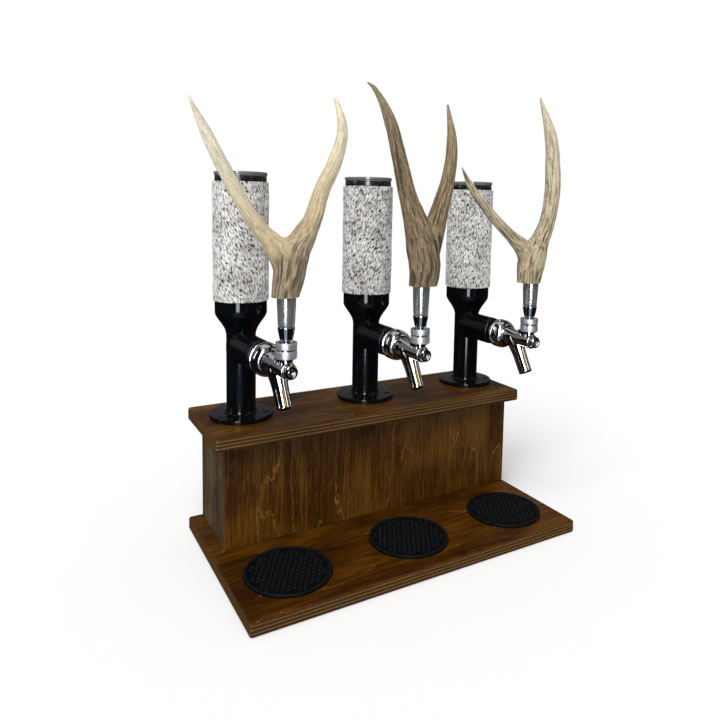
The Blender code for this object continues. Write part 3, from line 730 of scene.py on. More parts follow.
def build_stand():
    brown = ((0.022, 0.0068, 0.0003), (0.059, 0.0208, 0.0011), (0.118, 0.052, 0.0060))
    amber = ((0.013, 0.0033, 0.0001), (0.039, 0.0120, 0.0003), (0.090, 0.034, 0.0020))
    grey = ((0.028, 0.018, 0.008), (0.078, 0.054, 0.028), (0.150, 0.110, 0.064))
    x, y, z = range(3)
    board, panel = 8, 5  # plies
    plan = (
        ("base_board", z, x, amber, 0.0030, board, 0.0),
        ("top_board", z, x, brown, 0.0032, board, 3.1),
        ("riser_front", y, z, brown, 0.0010, panel, 5.3),
        ("riser_back", y, z, brown, 0.0010, panel, 7.7),
        ("riser_left", x, z, grey, 0.0010, panel, 9.2),
        ("riser_right", x, z, brown, 0.0010, panel, 11.9),
    )
    for node, thick, grain, tone, rounding, plies, seed in plan:
        low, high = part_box(node)
        paint = plywood("stained_" + node, thick, grain, low[thick], high[thick], tone, plies, seed)
        board_shape = board_mesh(low, high, rounding)
        piece(node + "_wood", board_shape, paint, Matrix(), "stand", "stained_plywood", node)


def coaster_mesh(radius, high):
    """A round mat with a raised rim and a field of low six-sided studs."""
    floor, rim = high - COASTER_RECESS, radius - 0.0030
    corners = [
        (0, floor, 0), (rim - 0.0022, floor, 0.0004), (rim, high - 0.0003, 0.0008),
        (radius - 0.0012, high, 0.0010), (radius, high * 0.55, 0.0012), (radius - 0.0004, 0, 0.0004),
        (0, 0, 0),
    ]
    bm = bmesh.new()
    bm.from_mesh(turned(corners, 120))
    pitch = 0.0068
    row_pitch = pitch * 0.866
    stud_foot, stud_top = 0.0031, 0.0022
    rows = int(radius / row_pitch) + 1
    for row in range(-rows, rows + 1):
        for column in range(-rows, rows + 1):
            x, y = (column + 0.5 * (row % 2)) * pitch, row * row_pitch
            if math.hypot(x, y) > rim - 0.0052:
                continue
            stud = cylinder(stud_foot, -GAP, COASTER_RECESS * 0.75, 6, stud_top)
            stud.transform(at(x, y, floor) @ Matrix.Rotation(math.radians(30), 4, "Z"))
            bm.from_mesh(stud)
            bpy.data.meshes.remove(stud)
    return finished(bm, "coaster", 30)


def build_coasters():
    low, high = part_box("coaster_middle")
    thick = high.z - low.z
    paint = silicone(thick - COASTER_RECESS, thick - 0.0004)
    for side in SIDES:
        node = "coaster_" + side
        low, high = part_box(node)
        mesh = coaster_mesh((high.x - low.x) / 2, high.z - low.z)
        place = at((low.x + high.x) / 2, (low.y + high.y) / 2, low.z)
        piece(node + "_mat", mesh, paint, place, node, "coaster_silicone", node)


# ---------------------------------------------------------------- towers

def flange_mesh():
    """The round foot, with a collar round the column's socket and three countersunk holes."""
    socket = COLUMN_RADIUS + GAP
    corners = [
        (0, 0.002, 0), (socket, 0.002, 0), (socket, COLLAR_TOP, 0), (socket + 0.0010, COLLAR_TOP, 0.0005),
        (socket + 0.0016, FLANGE + 0.0016, 0.0016), (socket + 0.0046, FLANGE, 0.0022),
        (FLANGE_RADIUS, FLANGE, 0.0011), (FLANGE_RADIUS, GAP, 0.0005), (0, GAP, 0),
    ]
    holes = []
    for angle in SCREW_ANGLES:
        place = on_circle(SCREW_CIRCLE, angle)
        holes.append((CUT, cylinder(SCREW_HOLE, -0.001, 0.0040), place))
        holes.append((CUT, cylinder(SCREW_HOLE, 0.0031, 0.0060, top=0.0048), place))
    return shaped(turned(corners, easing=5), *holes)


def screw_mesh():
    """A countersunk screw with a cross recess."""
    head, end = FLANGE - 0.0006, 0.0006
    corners = [
        (0, head, 0), (SCREW_HEAD, head, 0.0003), (SCREW_STEM, head - 0.0022, 0.0003),
        (SCREW_STEM, end, 0.0003), (0, end, 0),
    ]
    long, wide, deep = 0.0050, 0.0009, 0.0016
    bars = block(long, wide, deep), block(wide, long, deep)
    cross = [(CUT, bar, at(0, 0, head)) for bar in bars]
    return shaped(turned(corners, 32, 3), *cross)


def flare(steps=22):
    """The smooth run from the cup's band down to the column."""
    points = []
    for i in range(1, steps + 1):
        t = i / steps
        eased = (1 - math.cos(math.pi * t ** 0.8)) / 2
        radius = CUP_RADIUS + (COLUMN_RADIUS - CUP_RADIUS) * eased
        points.append((radius, FLARE_TOP + (FLARE_BOTTOM - FLARE_TOP) * t))
    return points


def boss_mesh():
    """The tap's boss: a drum that swells into a fillet where it meets the column, with a rounded end."""
    radius = BOSS_RADIUS - 0.0002
    swell, reach, taper = 0.0024, 0.0030, 0.0042
    round_from = BOSS_END - BOSS_ROUNDING
    along, over = 30, 8  # steps
    bm = bmesh.new()
    rings = []
    for k in range(ROUND):
        angle = math.tau * k / ROUND
        start = math.sqrt(max(COLUMN_RADIUS ** 2 - (radius * math.cos(angle)) ** 2, 0)) - 0.001
        line = []
        for step in range(along + 1):
            y = start + (round_from - start) * (step / along) ** 1.8
            line.append((radius + swell * abs(math.sin(angle)) * math.exp(-(max(y - start, 0) / reach)), y))
        for step in range(1, over):
            turn = math.radians(90 * step / over)
            line.append((radius - taper * (1 - math.cos(turn)), round_from + BOSS_ROUNDING * math.sin(turn)))
        rings.append([bm.verts.new((r * math.cos(angle), r * math.sin(angle), y)) for r, y in line])
    for one, two in zip(rings, rings[1:] + rings[:1]):
        for low in range(len(one) - 1):
            bm.faces.new((one[low], two[low], two[low + 1], one[low + 1]))
    bm.faces.new([ring[0] for ring in rings])
    bm.faces.new([ring[-1] for ring in reversed(rings)])
    return finished(bm, "boss")


def tower_body_mesh():
    """Column, boss and flared cup in one, hollow for the drink."""
    inner, cup_inner = COLUMN_RADIUS - COLUMN_WALL, CUP_RADIUS - 0.0025
    seat = cup_inner - 0.003
    bore_end = BOSS_RADIUS + GAP
    cup = rounded([(cup_inner, CUP_TOP, 0), (CUP_RADIUS, CUP_TOP, 0.0006), (CUP_RADIUS, FLARE_TOP, 0)], 3)
    inside = [
        (COLUMN_RADIUS, COLUMN_FOOT), (inner, COLUMN_FOOT), (inner, TAP_HEIGHT + bore_end + 0.0004),
        (seat, FLARE_TOP - 0.008), (seat, FLARE_TOP - 0.005), (cup_inner, FLARE_TOP - 0.005),
    ]
    here = at(0, 0, TAP_HEIGHT) @ FORWARDS
    bore = cylinder(inner + GAP, TAP_HEIGHT - bore_end, TAP_HEIGHT + bore_end, ROUND)
    return shaped(
        revolved(cup + flare() + inside, closed=True),
        (JOIN, boss_mesh(), here),
        (CUT, bore, Matrix()),
        (CUT, cylinder(SHANK_RADIUS + GAP, 0.0070, BOSS_END + 0.001, 64), here),
    )


def reservoir_mesh():
    """The tube under the hide, down to the neck that sits in the cup."""
    neck, inside = CUP_RADIUS - 0.0028, TUBE_RADIUS - TUBE_WALL
    neck_end, shoulder = FLARE_TOP - 0.0045, CUP_TOP + GAP
    corners = [
        (inside, TUBE_TOP, 0), (TUBE_RADIUS, TUBE_TOP, 0.0005), (TUBE_RADIUS, shoulder, 0.0004),
        (neck, shoulder, 0), (neck, neck_end, 0.0004), (neck - TUBE_WALL, neck_end, 0.0004),
        (neck - TUBE_WALL, CUP_TOP + 0.002, 0.002), (inside, CUP_TOP + 0.006, 0.002),
        (inside, TUBE_TOP - 0.0005, 0),
    ]
    return turned(corners, closed=True)


def stopper_mesh():
    """The lid's rubber: a band over the reservoir's edge and a plug with three lips."""
    plug, bottom = TUBE_RADIUS - TUBE_WALL - GAP, HIDE_TOP + GAP
    corners = [
        (0, BAND_TOP, 0), (BAND_RADIUS, BAND_TOP, 0.0005), (BAND_RADIUS + 0.0002, bottom, 0.0006),
        (plug, bottom, 0),
    ]
    for k in range(3):
        z = bottom - 0.0018 - 0.0028 * k
        corners += [(plug, z, 0.0003), (plug - 0.0007, z - 0.0008, 0.0003), (plug, z - 0.0016, 0.0003)]
    corners += [(plug - 0.0008, PLUG_BOTTOM, 0.0005), (0, PLUG_BOTTOM, 0)]
    return turned(corners, easing=3)


def disc_mesh():
    """The lid's disc, with a raised rim and a lip under it."""
    dish, lip = LID_TOP - 0.0010, LID_RADIUS - 0.0007
    corners = [
        (0, dish + 0.0004, 0), (LID_RADIUS * 0.35, dish + 0.0002, 0.002), (LID_RADIUS - 0.0034, dish, 0.0004),
        (LID_RADIUS - 0.0026, LID_TOP, 0.0005), (LID_RADIUS, LID_TOP, 0.0010),
        (LID_RADIUS, LID_BOTTOM + 0.0018, 0.0004), (lip, LID_BOTTOM + 0.0014, 0.0003),
        (lip, LID_BOTTOM, 0.0003), (0, LID_BOTTOM, 0),
    ]
    return turned(corners)


def shank_mesh():
    """The threaded tube through the boss: its thread shows between the boss and the coupling nut."""
    points = [(SHANK_BORE, SHANK_FRONT), (SHANK_RADIUS, SHANK_FRONT)]
    pitch = 0.0014
    z = NUT_BACK + 0.004
    while z > BOSS_END - 0.004:
        points += [(SHANK_RADIUS, z), (SHANK_RADIUS - 0.0006, z - pitch / 2)]
        z -= pitch
    points += [(SHANK_RADIUS, z), (SHANK_RADIUS, SHANK_BACK), (SHANK_BORE, SHANK_BACK)]
    return revolved(points, 64, closed=True)


def nut_mesh():
    """The coupling nut: a rim, a groove, and a domed front with six spanner holes."""
    hole, ledge, mouth = SHANK_RADIUS + GAP, 0.0145, 0.0124
    lip, groove = BODY_BACK + 0.0023, NUT_RADIUS - 0.0012
    dome = NUT_FRONT - 0.0090
    corners = [
        (mouth, NUT_FRONT, 0), (0.0140, NUT_FRONT, 0.0008), (0.0166, NUT_FRONT - 0.0022, 0.0016),
        (0.0187, NUT_FRONT - 0.0056, 0.0020), (NUT_RADIUS, dome, 0.0018),
        (NUT_RADIUS, NUT_BACK + 0.0058, 0.0004), (groove, NUT_BACK + 0.0050, 0.0004),
        (groove, NUT_BACK + 0.0044, 0.0004), (NUT_RADIUS, NUT_BACK + 0.0038, 0.0004),
        (NUT_RADIUS, NUT_BACK, 0.0009), (hole, NUT_BACK, 0.0004), (hole, BODY_BACK - 2 * GAP, 0),
        (ledge, BODY_BACK - GAP, 0), (ledge, lip, 0), (mouth, lip, 0), (mouth, NUT_FRONT - 0.0004, 0),
    ]
    holes = []
    for k in range(6):
        angle = math.tau * (k + 0.5) / 6
        aim = Matrix.Rotation(angle, 4, "Z") @ Matrix.Rotation(math.radians(90), 4, "Y")
        place = on_circle(NUT_RADIUS, angle, dome) @ aim
        holes.append((CUT, cylinder(0.0021, -0.0028, 0.0020, 24), place))
    return shaped(turned(corners, closed=True), *holes)


def barrel_mesh():
    """The faucet's barrel, from its flange in the nut to the ringed guide of the plunger."""
    ring, back = GUIDE_FRONT - 0.0068, BODY_BACK
    corners = [
        (0, GUIDE_FRONT, 0), (0.0066, GUIDE_FRONT, 0), (0.0075, GUIDE_FRONT - 0.0008, 0.0006),
        (0.0076, ring + 0.0016, 0.0004), (0.0067, ring + 0.0012, 0.0002), (0.0067, ring + 0.0008, 0.0002),
        (0.0088, ring + 0.0004, 0.0006), (0.0095, ring - 0.0008, 0.0010), (0.0095, 0.1130, 0.0060),
        (0.0106, 0.1030, 0.0030), (0.0118, 0.0985, 0.0010), (0.0121, 0.0965, 0.0006),
        (0.0112, 0.0955, 0.0004), (0.0112, 0.0940, 0.0004), (0.0121, back + 0.0022, 0.0004),
        (0.0142, back + 0.0020, 0.0003), (0.0142, back, 0.0003), (0, back, 0),
    ]
    return turned(corners, 80)


def spout_mesh(length):
    corners = [
        (0, length, 0), (0.0084, length, 0.0004), (0.0087, length - 0.0010, 0.0006),
        (0.0086, length - 0.0040, 0.002), (0.0090, length * 0.45, 0.010), (0.0108, length * 0.20, 0.006),
        (0.0108, 0.0, 0.0), (0, 0, 0),
    ]
    return turned(corners, 64, 6)


def faucet_mesh():
    """The faucet's body: a ringed barrel, the slotted neck with the ball's seat, and the slanting spout."""
    upright = (at(0, 0, TAP_HEIGHT) @ FORWARDS).inverted()
    over_lever = upright @ at(0, -LEVER, 0)
    neck_low, neck_depth = TAP_HEIGHT + 0.0062, 0.0105
    neck = turned([(0, NECK_TOP, 0), (NECK_RADIUS, NECK_TOP, 0), (NECK_RADIUS, neck_low + 0.003, 0.002),
                   (0.0082, neck_low, 0), (0, neck_low, 0)], 64)
    web = block(0.0136, neck_depth, NECK_TOP - neck_low - 0.0001)
    root, tip = Vector((0, -SPOUT_ROOT[0], SPOUT_ROOT[1])), Vector((0, -SPOUT_TIP[0], SPOUT_TIP[1]))
    slope = upright @ at(*root) @ (tip - root).to_track_quat("Z", "X").to_matrix().to_4x4()
    length = (tip - root).length
    slot_back, slot_front = 0.0144, 0.0032
    slot = block(0.0056, slot_back + slot_front, SEAT_TOP - TAP_HEIGHT + 0.002)
    slot_place = at(0, (slot_back - slot_front) / 2, (SEAT_TOP + TAP_HEIGHT) / 2 + 0.001)
    return shaped(
        barrel_mesh(),
        (JOIN, spout_mesh(length), slope),
        (JOIN, neck, over_lever),
        (JOIN, neck.copy(), over_lever @ at(0, neck_depth, 0)),
        (JOIN, web, over_lever @ at(0, neck_depth / 2, (neck_low + NECK_TOP) / 2)),
        (JOIN, cylinder(SEAT_RADIUS, NECK_TOP - 0.0010, SEAT_TOP, 64), over_lever),
        (CUT, cylinder(0.0062, 0.0010, length + 0.002, 48), slope),
        (CUT, cylinder(0.0050, BODY_BACK - 0.001, GUIDE_FRONT + 0.001, 48), Matrix()),
        (CUT, cylinder(0.0054, TAP_HEIGHT, SEAT_TOP + 0.001, 48), over_lever),
        (CUT, slot, over_lever @ slot_place),
    )


def bonnet_mesh():
    """The nut over the lever's ball: two finely fluted bands with smooth edges and a groove between them."""
    low, high = BONNET_BOTTOM, BONNET_TOP
    groove = low + (high - low) * 0.53
    inner, socket, inset = 0.0095, 0.0074, 0.0104
    corners = [
        (0.0068, high - 0.0020, 0), (0.0097, high - 0.0020, 0.0004), (0.0103, high - 0.0002, 0.0004),
        (BONNET_RADIUS, high - 0.0002, 0.0012), (BONNET_RADIUS, groove + 0.0013, 0.0006),
        (inset, groove, 0.0003), (BONNET_RADIUS, groove - 0.0013, 0.0006),
        (BONNET_RADIUS, low + 0.0003, 0.0010), (inset, low, 0), (inner, low, 0),
        (inner, SEAT_TOP + 0.0008, 0), (socket, SEAT_TOP + 0.0010, 0), (socket, PIVOT + 0.0010, 0),
    ]
    flutes, flute_depth = 64, 0.00016
    mesh = turned(corners, 3 * flutes, closed=True)
    for vert in mesh.vertices:
        out = math.hypot(vert.co.x, vert.co.y)
        if out > BONNET_RADIUS - 0.0001:
            wave = math.cos(flutes * math.atan2(vert.co.y, vert.co.x))
            eased = 1 - flute_depth * (0.5 - 0.5 * wave) / out
            vert.co.x *= eased
            vert.co.y *= eased
    return mesh


def lever_mesh():
    """The ball lever, about its pivot: stud, collar, neck, ball and the arm down into the plunger."""
    ball, arm, neck, reach = 0.0070, 0.0022, 0.0034, 0.0272
    stud, bottom, top = (height - PIVOT for height in (STUD_TOP, *LEVER_COLLAR))
    corners = [
        (0, stud, 0), (STUD_RADIUS, stud, 0.0008), (STUD_RADIUS, top, 0), (0.0086, top, 0.0002),
        (COLLAR_RADIUS, top - 0.0006, 0.0008), (COLLAR_RADIUS, top - 0.0022, 0.0008),
        (0.0070, bottom + 0.0008, 0.0006), (0.0062, bottom, 0.0003), (neck, bottom, 0.0003),
        (neck, ball * 0.86 + 0.0003, 0),
    ]
    points = rounded(corners)
    for degrees in range(58, -69, -6):
        points.append((ball * math.cos(math.radians(degrees)), ball * math.sin(math.radians(degrees))))
    points += [(arm, -ball * 0.93), (arm, 0.0006 - reach), (arm - 0.0006, -reach), (0, -reach)]
    return revolved(points, 64)


def plunger_mesh():
    """The valve's shaft: the button at its front, a slot for the lever's arm, and the washer at its back."""
    radius, shaft, clip = 0.0047, 0.0035, 0.0056
    front, back = PLUNGER_FRONT, PLUNGER_BACK
    washer_back, washer_front = WASHER
    corners = [
        (0, front - 0.0003, 0), (0.0016, front - 0.0003, 0.0002), (0.0019, front, 0.0002),
        (0.0032, front, 0.0003), (0.0036, front - 0.0006, 0.0002), (0.0041, front - 0.0006, 0.0002),
        (radius, front - 0.0012, 0.0003), (radius, 0.1180, 0.0003), (shaft, 0.1172, 0.0003),
        (shaft, washer_front, 0.0002), (WASHER_RADIUS, washer_front, 0.0003),
        (WASHER_RADIUS, washer_back, 0.0003), (clip, washer_back, 0.0002), (clip, back + 0.0006, 0.0004),
        (0.0050, back, 0.0003), (0, back, 0),
    ]
    return shaped(turned(corners, 64, 3), (CUT, block(0.0051, 0.02, 0.0072), at(0, 0, LEVER)))


def ferrule_mesh(foot):
    """The ferrule up to an antler's foot, with a hole for the lever's stud."""
    top, bottom, wide, hole = foot - GAP, FERRULE_BOTTOM, 0.0101, STUD_RADIUS + GAP
    corners = [
        (0, top, 0), (0.0095, top, 0.0004), (wide, top - 0.0008, 0.0006), (wide, top - 0.0026, 0.0010),
        (0.0089, bottom + 0.0010, 0.0008), (0.0083, bottom, 0.0004), (hole, bottom, 0),
        (hole, STUD_TOP + 0.0008, 0), (0, STUD_TOP + 0.0015, 0),
    ]
    return turned(corners, 72)


def hide_mesh(side, seed):
    """The hide sleeve: a slightly lumpy skin with a ragged hem and a lapped seam at its back.

    hide_place on its points is the distance round it from the seam, and the height."""
    columns, rows = 300, 200
    seam = math.radians({"left": 66, "middle": 58, "right": 71}[side])
    bm = bmesh.new()
    layer = bm.verts.layers.float_vector.new("hide_place")
    rings = []
    for row in range(rows + 1):
        z = HIDE_BOTTOM + 0.0002 + (HIDE_TOP - HIDE_BOTTOM - 0.0004) * row / rows
        end = min(row, rows - row) / rows * (HIDE_TOP - HIDE_BOTTOM)
        ring = []
        for k in range(columns):
            angle = math.tau * k / columns
            direction = Vector((math.cos(angle), math.sin(angle), 0))
            place = direction * HIDE_RADIUS + Vector((0, 0, z))
            lump = noise.noise(place * 45 + Vector((seed, 0, 0))) * 0.00045
            tuft = noise.noise(Vector((place.x * 420, place.y * 420, place.z * 130 + seed))) * 0.00022
            from_seam = (angle - seam) % math.tau
            lap = 0.0005 * math.exp(-from_seam * 7)
            ragged = 0.2 + 0.5 * noise.noise(direction * 5 + Vector((0, 0, seed)))
            hem = 0.0006 * math.exp(-end / 0.0022) * ragged
            pull = -0.0004 * math.exp(-end / 0.0010)
            radius = HIDE_RADIUS - 0.0003 + lump + tuft + lap + hem + pull
            edge = noise.noise(direction * 9 + Vector((seed, 0, 2))) * 0.0004 * math.exp(-end / 0.002)
            vert = bm.verts.new((direction.x * radius, direction.y * radius, z + edge))
            vert[layer] = (from_seam * HIDE_RADIUS, z, 0)
            ring.append(vert)
        rings.append(ring)
    for z in (HIDE_TOP - 0.0002, HIDE_BOTTOM + 0.0002):
        ring = ring_of(bm, TUBE_RADIUS + GAP, z, columns)
        for k, vert in enumerate(ring):
            vert[layer] = (math.tau * k / columns * HIDE_RADIUS, z, 0)
        rings.append(ring)
    for first, second in zip(rings, rings[1:] + rings[:1]):
        for k in range(columns):
            j = (k + 1) % columns
            bm.faces.new((first[k], first[j], second[j], second[k]))
    return finished(bm, "hide", 60)


# ---------------------------------------------------------------- antlers

def beam_curve(points, bevel):
    """The curve of a beam, as a round solid or, with no bevel, as its centre line."""
    curve = bpy.data.curves.new("beam", "CURVE")
    curve.dimensions = "3D"
    curve.bevel_depth = bevel
    curve.bevel_resolution = 12
    curve.resolution_u = 14
    curve.use_fill_caps = True
    path = curve.splines.new("BEZIER")
    path.bezier_points.add(len(points) - 1)
    for point, (x, y, z, radius) in zip(path.bezier_points, points):
        point.co = (x / 1000, y / 1000, z / 1000)
        point.radius = radius / 1000
        point.handle_left_type = point.handle_right_type = "AUTO"
    holder = bpy.data.objects.new("beam", curve)
    mesh = bpy.data.meshes.new_from_object(holder)
    bpy.data.objects.remove(holder)
    return mesh


def line_of(points):
    """The centre line of a beam as places, their radii and their distances from the foot."""
    places = table_of(beam_curve(points, 0).vertices, "co")
    marks = np.array(points) / 1000
    nearest = np.array([np.argmin(np.linalg.norm(places - mark[:3], axis=1)) for mark in marks])
    radii = np.interp(np.arange(len(places)), nearest, marks[:, 3])
    steps = np.linalg.norm(np.diff(places, axis=0), axis=1)
    return places, radii, np.concatenate([[0], np.cumsum(steps)])


def antler_blank(antler):
    """The beams melted into one skin."""
    bm = bmesh.new()
    for beam in ("trunk", "tine", "burr"):
        if antler[beam]:
            bm.from_mesh(beam_curve(antler[beam], 1))
    bmesh.ops.remove_doubles(bm, verts=bm.verts, dist=0.00001)
    bmesh.ops.scale(bm, verts=bm.verts, vec=(1, ANTLER_DEPTH, 1))
    bmesh.ops.recalc_face_normals(bm, faces=bm.faces)
    made = new_object("antler", mesh_of(bm, "antler"))
    remesh = made.modifiers.new("skin", "REMESH")
    remesh.mode = "VOXEL"
    remesh.voxel_size = 0.0008
    remesh.use_smooth_shade = True
    return settle(made)


def table_of(items, key, width=3, kind=float):
    """One value of each of a mesh's items, such as the places of its points, as rows of numbers."""
    table = np.empty(len(items) * width, kind)
    items.foreach_get(key, table)
    return table.reshape(-1, width)


def rise(values, low, high):
    """Runs from 0 at low to 1 at high, and stays there."""
    return np.clip((values - low) / (high - low), 0, 1)


def relax(places, links, weights, rounds):
    """Moves each place towards the mean of its neighbours, as far as its weight says."""
    here = np.concatenate([links[:, 0], links[:, 1]])
    there = np.concatenate([links[:, 1], links[:, 0]])
    count = np.bincount(here, minlength=len(places))
    for _ in range(rounds):
        totals = [np.bincount(here, places[there, axis], len(places)) for axis in range(3)]
        mean = np.stack(totals, 1) / count[:, None]
        places = places + (mean - places) * weights[:, None]
    return places


def beam_places(places, line):
    """How near each place is to a beam, in its radii, and the distance along, turn and radius there."""
    centres, radii, along = line
    gaps = np.linalg.norm(places[:, None, :] - centres[None, :, :], axis=2)
    nearest = np.argmin(gaps, axis=1)
    near = gaps[np.arange(len(places)), nearest] / radii[nearest]
    before, after = np.maximum(nearest - 1, 0), np.minimum(nearest + 1, len(along) - 1)
    tangent = centres[after] - centres[before]
    tangent /= np.linalg.norm(tangent, axis=1)[:, None] + 1e-9
    out = places - centres[nearest]
    run = (out * tangent).sum(1)
    out -= run[:, None] * tangent
    turn = np.arctan2(out[:, 1], (out * np.cross((0, 1, 0), tangent)).sum(1))
    return near, np.stack([along[nearest] + run, turn, radii[nearest]], 1)


def crotch_of(trunk, tine):
    """Where the two beams' skins part, at the bottom of the fork."""
    for place, radius in zip(*tine[:2]):
        gaps = np.linalg.norm(trunk[0] - place, axis=1)
        k = np.argmin(gaps)
        if gaps[k] > radius + trunk[1][k]:
            return (place + trunk[0][k]) / 2
    return tine[0][-1]


def ridge(s, turn, radius, seed):
    """The height, 0 to 1, of an antler's long ridges and furrows at a distance along it and round it."""
    wide = radius * 170
    place = Vector((math.cos(turn) * wide, math.sin(turn) * wide, s * 17 + seed))
    wander = noise.noise(place * 0.55) * 0.8
    coarse = 1 - abs(noise.noise(Vector((place.x * 1.6 + wander, place.y * 1.6, place.z * 0.7))) * 2.0)
    fine = noise.noise(Vector((place.x * 3.6, place.y * 3.6 + wander, place.z * 1.9 + 7))) * 0.5 + 0.5
    bead = noise.noise(Vector((place.x * 3.2, place.y * 3.2, place.z * 9))) * 0.5 + 0.5
    return min(max(0.58 * coarse + 0.30 * fine + 0.16 * bead, 0), 1)


def antler_mesh(antler, seed):
    """An antler with its fork filled out, its skin ridged and its foot sawn flat.

    antler_place on its points is how far it is from the seam of the two beams, its relief and its age, and
    antler_lines is its place across and along its beam."""
    mesh = antler_blank(antler)
    foot = antler["foot"]
    places = table_of(mesh.vertices, "co")
    edges = table_of(mesh.edges, "vertices", 2, int)
    trunk, tine = line_of(antler["trunk"]), line_of(antler["tine"])
    crotch = crotch_of(trunk, tine)
    places = relax(places, edges, 0.5 * rise(places[:, 2], foot, foot + 0.004), 6)
    reach = np.linalg.norm(places - crotch - np.array((0, 0, 0.003)), axis=1)
    breadth, rounds = antler["webbing"]
    places = relax(places, edges, 0.5 * np.clip(1.2 - reach / breadth, 0, 1), rounds)

    near_trunk, on_trunk = beam_places(places, trunk)
    near_tine, on_tine = beam_places(places, tine)
    trunk_share = np.clip(0.5 + (near_tine - near_trunk) / 0.5, 0, 1)
    trunk_share = np.maximum(trunk_share, np.clip((crotch[2] - 0.003 - places[:, 2]) / 0.010, 0, 1))
    relief = np.zeros(len(places))
    for own, part in ((on_trunk, trunk_share), (on_tine, 1 - trunk_share)):
        for k in np.flatnonzero(part > 0):
            relief[k] += part[k] * ridge(*own[k], seed)
    mixed = 4 * trunk_share * (1 - trunk_share)
    s, turn, radius = np.where((trunk_share > 0.5)[:, None], on_trunk, on_tine).T

    mesh.vertices.foreach_set("co", places.ravel())
    mesh.update()
    fade = rise(radius, 0.0015, 0.0095) * np.clip((places[:, 2] - foot) / 0.004, 0.2, 1)
    raised = (relief - 0.62) * fade * antler["relief"]
    places = places + table_of(mesh.vertices, "normal") * raised[:, None]
    places[:, 2] = np.maximum(places[:, 2], foot)
    mesh.vertices.foreach_set("co", places.ravel())

    age = rise(places[:, 2], foot, foot + 0.215)
    smooth = relief * (1 - 0.5 * age) + 0.30 * age
    age = age + antler["pale_tine"] * (1 - trunk_share)
    layers = {
        "antler_place": (1 - mixed, smooth, age),
        "antler_lines": (radius * np.cos(turn), radius * np.sin(turn), s),
    }
    for name, values in layers.items():
        layer = mesh.attributes.new(name, "FLOAT_VECTOR", "POINT")
        layer.data.foreach_set("vector", np.stack(values, 1).astype(np.float32).ravel())
    bm = bmesh.new()
    bm.from_mesh(mesh)
    sole = [v for v in bm.verts if v.co.z < foot - 1e-7]
    bmesh.ops.delete(bm, geom=sole, context="VERTS")
    return finished(bm, "antler", 70)


# ---------------------------------------------------------------- assembling the towers

def hide_paints():
    spot = (0.138, HIDE_BOTTOM + 0.004, 0.0045, 0.0090)
    return {
        "left": cowhide("cowhide_left", 0.42, 0.026, (0.075, 0.028, 0.022), 0.0),
        "middle": cowhide("cowhide_middle", -0.42, 0.045, (0.060, 0.016, 0.014), 1.7),
        "right": cowhide("cowhide_right", -0.12, 0.036, (0.050, 0.040, 0.034), 3.9, spot),
    }


def bone_paints():
    left = (0.245, 0.190, 0.125), (0.58, 0.48, 0.30), (0.84, 0.78, 0.60), (0.12, 0.080, 0.045)
    middle = (0.225, 0.168, 0.096), (0.270, 0.205, 0.120), (0.34, 0.27, 0.17), (0.070, 0.045, 0.024)
    right = (0.42, 0.34, 0.22), (0.54, 0.47, 0.33), (0.60, 0.53, 0.38), (0.13, 0.085, 0.044)
    return {
        "left": antler_skin("antler_left", *left, (0.10, 0.50, 0.14, 0.50), 0.50),
        "middle": antler_skin("antler_middle", *middle, (0.15, 0.85, 0.75, 1.00), 0.85),
        "right": antler_skin("antler_right", *right, (0.10, 0.60, 0.45, 1.00), 0.80),
    }


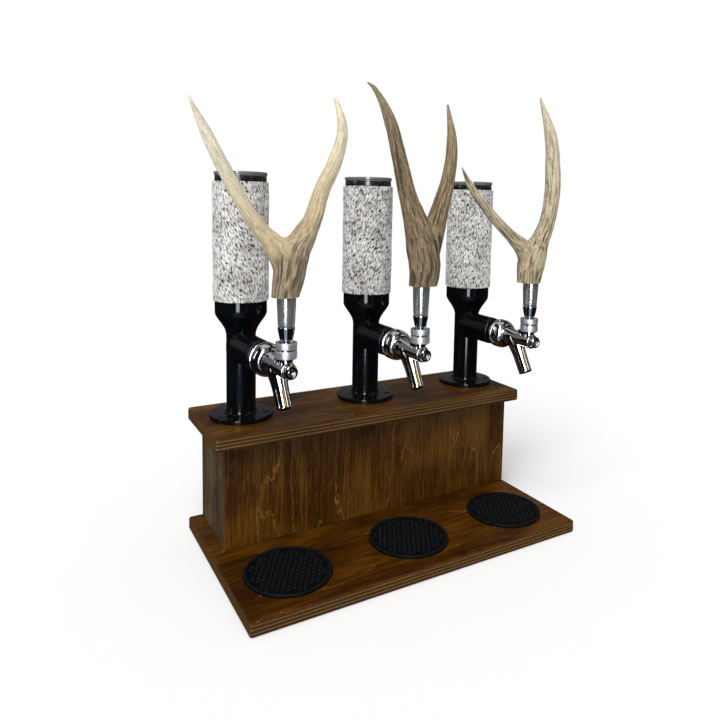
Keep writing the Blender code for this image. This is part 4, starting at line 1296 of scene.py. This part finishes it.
def build_towers():
    black, metal, satin = black_gloss(), chrome(), satin_chrome()
    rubber = moulded("black_rubber", (0.006, 0.006, 0.007), (0.011, 0.011, 0.012), 0.22, 0.6)
    plastic = moulded("black_tube_plastic", (0.008, 0.008, 0.009), (0.014, 0.014, 0.015), 0.20, 0.3)
    smoke = moulded("smoke_grey_disc", (0.105, 0.115, 0.112), (0.155, 0.165, 0.162), 0.12, 0.8)
    oxide = moulded("black_oxide", (0.010, 0.010, 0.011), (0.022, 0.022, 0.024), 0.30, 0.1)
    hides, bones = hide_paints(), bone_paints()
    foot = Matrix()
    tap = at(0, 0, TAP_HEIGHT) @ FORWARDS
    lever_axis = at(0, -LEVER, 0)
    shared = (
        ("flange", flange_mesh(), black, foot, "stand", "black_paint"),
        ("tower_body", tower_body_mesh(), black, foot, "stand", "black_paint"),
        ("reservoir_tube", reservoir_mesh(), plastic, foot, "stand", "reservoir_plastic"),
        ("lid_stopper", stopper_mesh(), rubber, foot, "lid_", "stopper_rubber"),
        ("lid_disc", disc_mesh(), smoke, foot, "lid_", "lid_plastic"),
        ("shank", shank_mesh(), metal, tap, "stand", "chrome"),
        ("coupling_nut", nut_mesh(), metal, tap, "stand", "chrome"),
        ("faucet_body", faucet_mesh(), metal, tap, "stand", "chrome"),
        ("bonnet", bonnet_mesh(), satin_bands(), lever_axis, "stand", "chrome"),
        ("lever", lever_mesh(), metal, lever_axis @ at(0, 0, PIVOT), "handle_", "chrome"),
        ("plunger", plunger_mesh(), metal, tap, "valve_", "chrome"),
    )
    screw = screw_mesh()
    for number, side in enumerate(SIDES):
        tower, antler, handle = TOWERS[side], ANTLERS[side], "handle_" + side
        for part, mesh, paint, place, body, slot in shared:
            body = body + side if body.endswith("_") else body
            node = f"{part}_{side}"
            piece(node + "_made", mesh.copy(), paint, tower @ place, body, slot, node)
        for k, angle in enumerate(SCREW_ANGLES, 1):
            place = tower @ on_circle(SCREW_CIRCLE, angle) @ Matrix.Rotation(0.7 * k + number, 4, "Z")
            node = f"flange_screw_{side}_{k}"
            piece(node + "_made", screw.copy(), oxide, place, "stand", "black_screw", node)
        hide = hide_mesh(side, 2.3 * number)
        piece(f"hide_{side}_fur", hide, hides[side], tower, "stand", "cowhide", "hide_sleeve_" + side)
        node = "ferrule_" + side
        piece(node + "_made", ferrule_mesh(antler["foot"]), satin, tower @ lever_axis, handle, "chrome", node)
        bone = antler_mesh(antler, 4.7 * number)
        piece(f"antler_{side}_bone", bone, bones[side], tower @ lever_axis, handle, "antler",
              "antler_handle_" + side)


build_camera()
build_floor()
build_light()
build_stand()
build_coasters()
build_towers()
